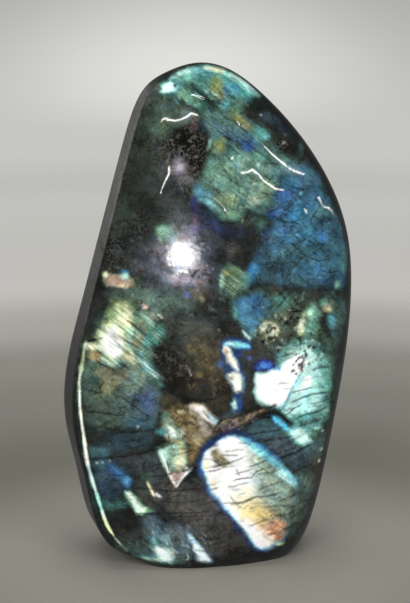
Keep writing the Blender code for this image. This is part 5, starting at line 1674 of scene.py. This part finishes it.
def spun_sheet(name, profile):
    """A round sheet, spun about the upright from (radius, height) points."""
    shape = bmesh.new()
    points = [shape.verts.new((radius, 0, high)) for radius, high in profile]
    edges = [shape.edges.new(pair) for pair in zip(points, points[1:])]
    bmesh.ops.spin(
        shape, geom=points + edges, cent=(0, 0, 0), axis=(0, 0, 1), angle=2 * math.pi, steps=SPIN_STEPS,
        use_merge=True,
    )
    bmesh.ops.remove_doubles(shape, verts=shape.verts, dist=SPIN_SEAM)
    bmesh.ops.recalc_face_normals(shape, faces=shape.faces)
    mesh = bpy.data.meshes.new(name)
    shape.to_mesh(mesh)
    shape.free()
    mesh.shade_smooth()
    sheet = bpy.data.objects.new(name, mesh)
    bpy.context.scene.collection.objects.link(sheet)
    return sheet


bend = []
for turn in np.linspace(0, 0.5 * math.pi, WALL_STEPS):
    bend.append((FLOOR_RADIUS + WALL_BEND * math.sin(turn), WALL_BEND * (1 - math.cos(turn))))
floor = spun_sheet("floor", [(0.0, 0.0), (0.3, 0.0), (FLOOR_RADIUS, 0.0)])
wall = spun_sheet("wall", bend + [(FLOOR_RADIUS + WALL_BEND, WALL_BEND + WALL_HIGH)])
# The polish mirrors neither of them, and the wall throws no light back.
wall.visible_glossy = False
floor.visible_glossy = False
wall.visible_diffuse = False

# Matt paper, pressed smooth: it takes the stone's shadow near by, and further off it glows with painted
# light that only the camera sees.
paper = bpy.data.materials.new("matt paper")
paper.use_nodes = True
sheet_tree = paper.node_tree
sheet_shader = sheet_tree.nodes["Principled BSDF"]
sheet_shader.inputs["Roughness"].default_value = 0.9
sheet_shader.inputs["Specular IOR Level"].default_value = 0.0
PAINTED_POOL_PLACE = (0.235, 1.85, 0.08)  # where the light pools, in metres
sheet_place = add(sheet_tree, "TexCoord", "Object")
far = add(sheet_tree, "VectorMath", operation="LENGTH", i0=sheet_place)
tones = add(sheet_tree, "ValToRGB", Fac=far)
ramp = tones.node.color_ramp
ramp.interpolation = "EASE"
while len(ramp.elements) < len(PAINTED_FLOOR_TONES):
    ramp.elements.new(0.5)
for stop, (distance, tone) in zip(ramp.elements, PAINTED_FLOOR_TONES):
    stop.position = distance
    stop.color = (*linear(tone), 1)
painted_glow = add(
    sheet_tree, "MapRange", interpolation_type="SMOOTHSTEP", Value=far, i1=0.3, i2=1.3, i3=0.0, i4=1.0
)
seen = add(sheet_tree, "LightPath", "Is Camera Ray")
painted_glow = add(sheet_tree, "Math", operation="MULTIPLY", i0=painted_glow, i1=seen)
lit_share = add(sheet_tree, "Math", operation="SUBTRACT", i0=1.0, i1=painted_glow)
dimmed = add(sheet_tree, "VectorMath", operation="SCALE", i0=tones, Scale=lit_share)
sheet_tree.links.new(dimmed, sheet_shader.inputs["Base Color"])
sheet_tree.links.new(tones, sheet_shader.inputs["Emission Color"])
# The wall's painted glow is paler in a painted pool of light behind the stone's top, and darker the higher
# it goes.
painted_pool_distance = add(sheet_tree, "VectorMath", operation="DISTANCE", i0=sheet_place, i1=PAINTED_POOL_PLACE)
painted_pool_light = add(
    sheet_tree, "MapRange", interpolation_type="SMOOTHSTEP", Value=painted_pool_distance, i1=0.0, i2=0.42, i3=1.36, i4=0.92
)
rise = add(sheet_tree, "SeparateXYZ", "Z", Vector=sheet_place)
painted_rise_fade = add(sheet_tree, "MapRange", Value=rise, i1=0.0, i2=0.2, i3=1.0, i4=0.72)
painted_glow = add(sheet_tree, "Math", operation="MULTIPLY", i0=painted_glow, i1=painted_rise_fade)
painted_glow = add(sheet_tree, "Math", operation="MULTIPLY", i0=painted_glow, i1=painted_pool_light)
sheet_tree.links.new(painted_glow, sheet_shader.inputs["Emission Strength"])
floor.data.materials.append(paper)
wall.data.materials.append(paper)

# ---------------------------------------------------------------------------------------------
# The light and the camera
# Soft boxes light the face evenly; one small lamp beside the lens gives the polish its sparkle.
# ---------------------------------------------------------------------------------------------
CAMERA_TURN, CAMERA_RISE, CAMERA_FAR = math.radians(-8), math.radians(12), 0.475
LENS_LONG, SENSOR_HIGH = 57.71, 24.0  # millimetres
SPARK_FAR = 0.6
target = Vector((-0.0008, 0.0, 0.0841))
towards = Vector((
    math.sin(CAMERA_TURN) * math.cos(CAMERA_RISE),
    -math.cos(CAMERA_TURN) * math.cos(CAMERA_RISE),
    math.sin(CAMERA_RISE),
))
lens = bpy.data.cameras.new("camera")
lens.sensor_fit = "VERTICAL"
lens.sensor_height = SENSOR_HIGH
lens.lens = LENS_LONG
lens.clip_start = 0.01
camera = bpy.data.objects.new("camera", lens)
camera.location = target + CAMERA_FAR * towards
camera.rotation_euler = (-towards).to_track_quat("-Z", "Y").to_euler()
bpy.context.scene.collection.objects.link(camera)
bpy.context.scene.camera = camera


def soft_box(name, place, aim, size, power, shiny):
    """A square soft box at that place in metres, turned to what it lights."""
    lamp = bpy.data.lights.new(name, "AREA")
    lamp.shape = "SQUARE"
    lamp.size = size
    lamp.energy = power
    box = bpy.data.objects.new(name, lamp)
    box.location = place
    box.rotation_euler = (Vector(place) - Vector(aim)).to_track_quat("Z", "Y").to_euler()
    box.visible_glossy = shiny
    bpy.context.scene.collection.objects.link(box)
    return box


soft_box("left soft box", (-0.6, -0.85, 0.55), (0, 0, 0.08), 0.7, 7.4, False)
soft_box("right soft box", (0.55, -0.9, 0.5), (0, 0, 0.08), 0.7, 7.4, False)
soft_box("top soft box", (0.0, 0.3, 1.3), (0, 0.1, 0), 1.2, 12.0, False)
# The small lamp stands where the polish mirrors it into the lens from just above the stone's middle.
spark_from = Vector(sparkle_place * MM)
spark_square = Vector(sparkle_facing).normalized()
spark_view = (camera.location - spark_from).normalized()
spark_way = 2 * spark_square.dot(spark_view) * spark_square - spark_view
spark = soft_box("sparkle lamp", spark_from + SPARK_FAR * spark_way, spark_from, 0.075, 0.2, True)
spark.data.shape = "ELLIPSE"
spark.data.size_y = 0.018
world = bpy.data.worlds.new("studio")
world.use_nodes = True
sky = world.node_tree
upward = add(sky, "SeparateXYZ", "Z", Vector=add(sky, "TexCoord", "Generated"))
haze = add(sky, "MapRange", Value=upward, i1=0.0, i2=0.5, i3=0.10, i4=0.04)
sky.links.new(haze, sky.nodes["Background"].inputs["Color"])
bpy.context.scene.world = world
bpy.context.scene.view_settings.view_transform = "Standard"
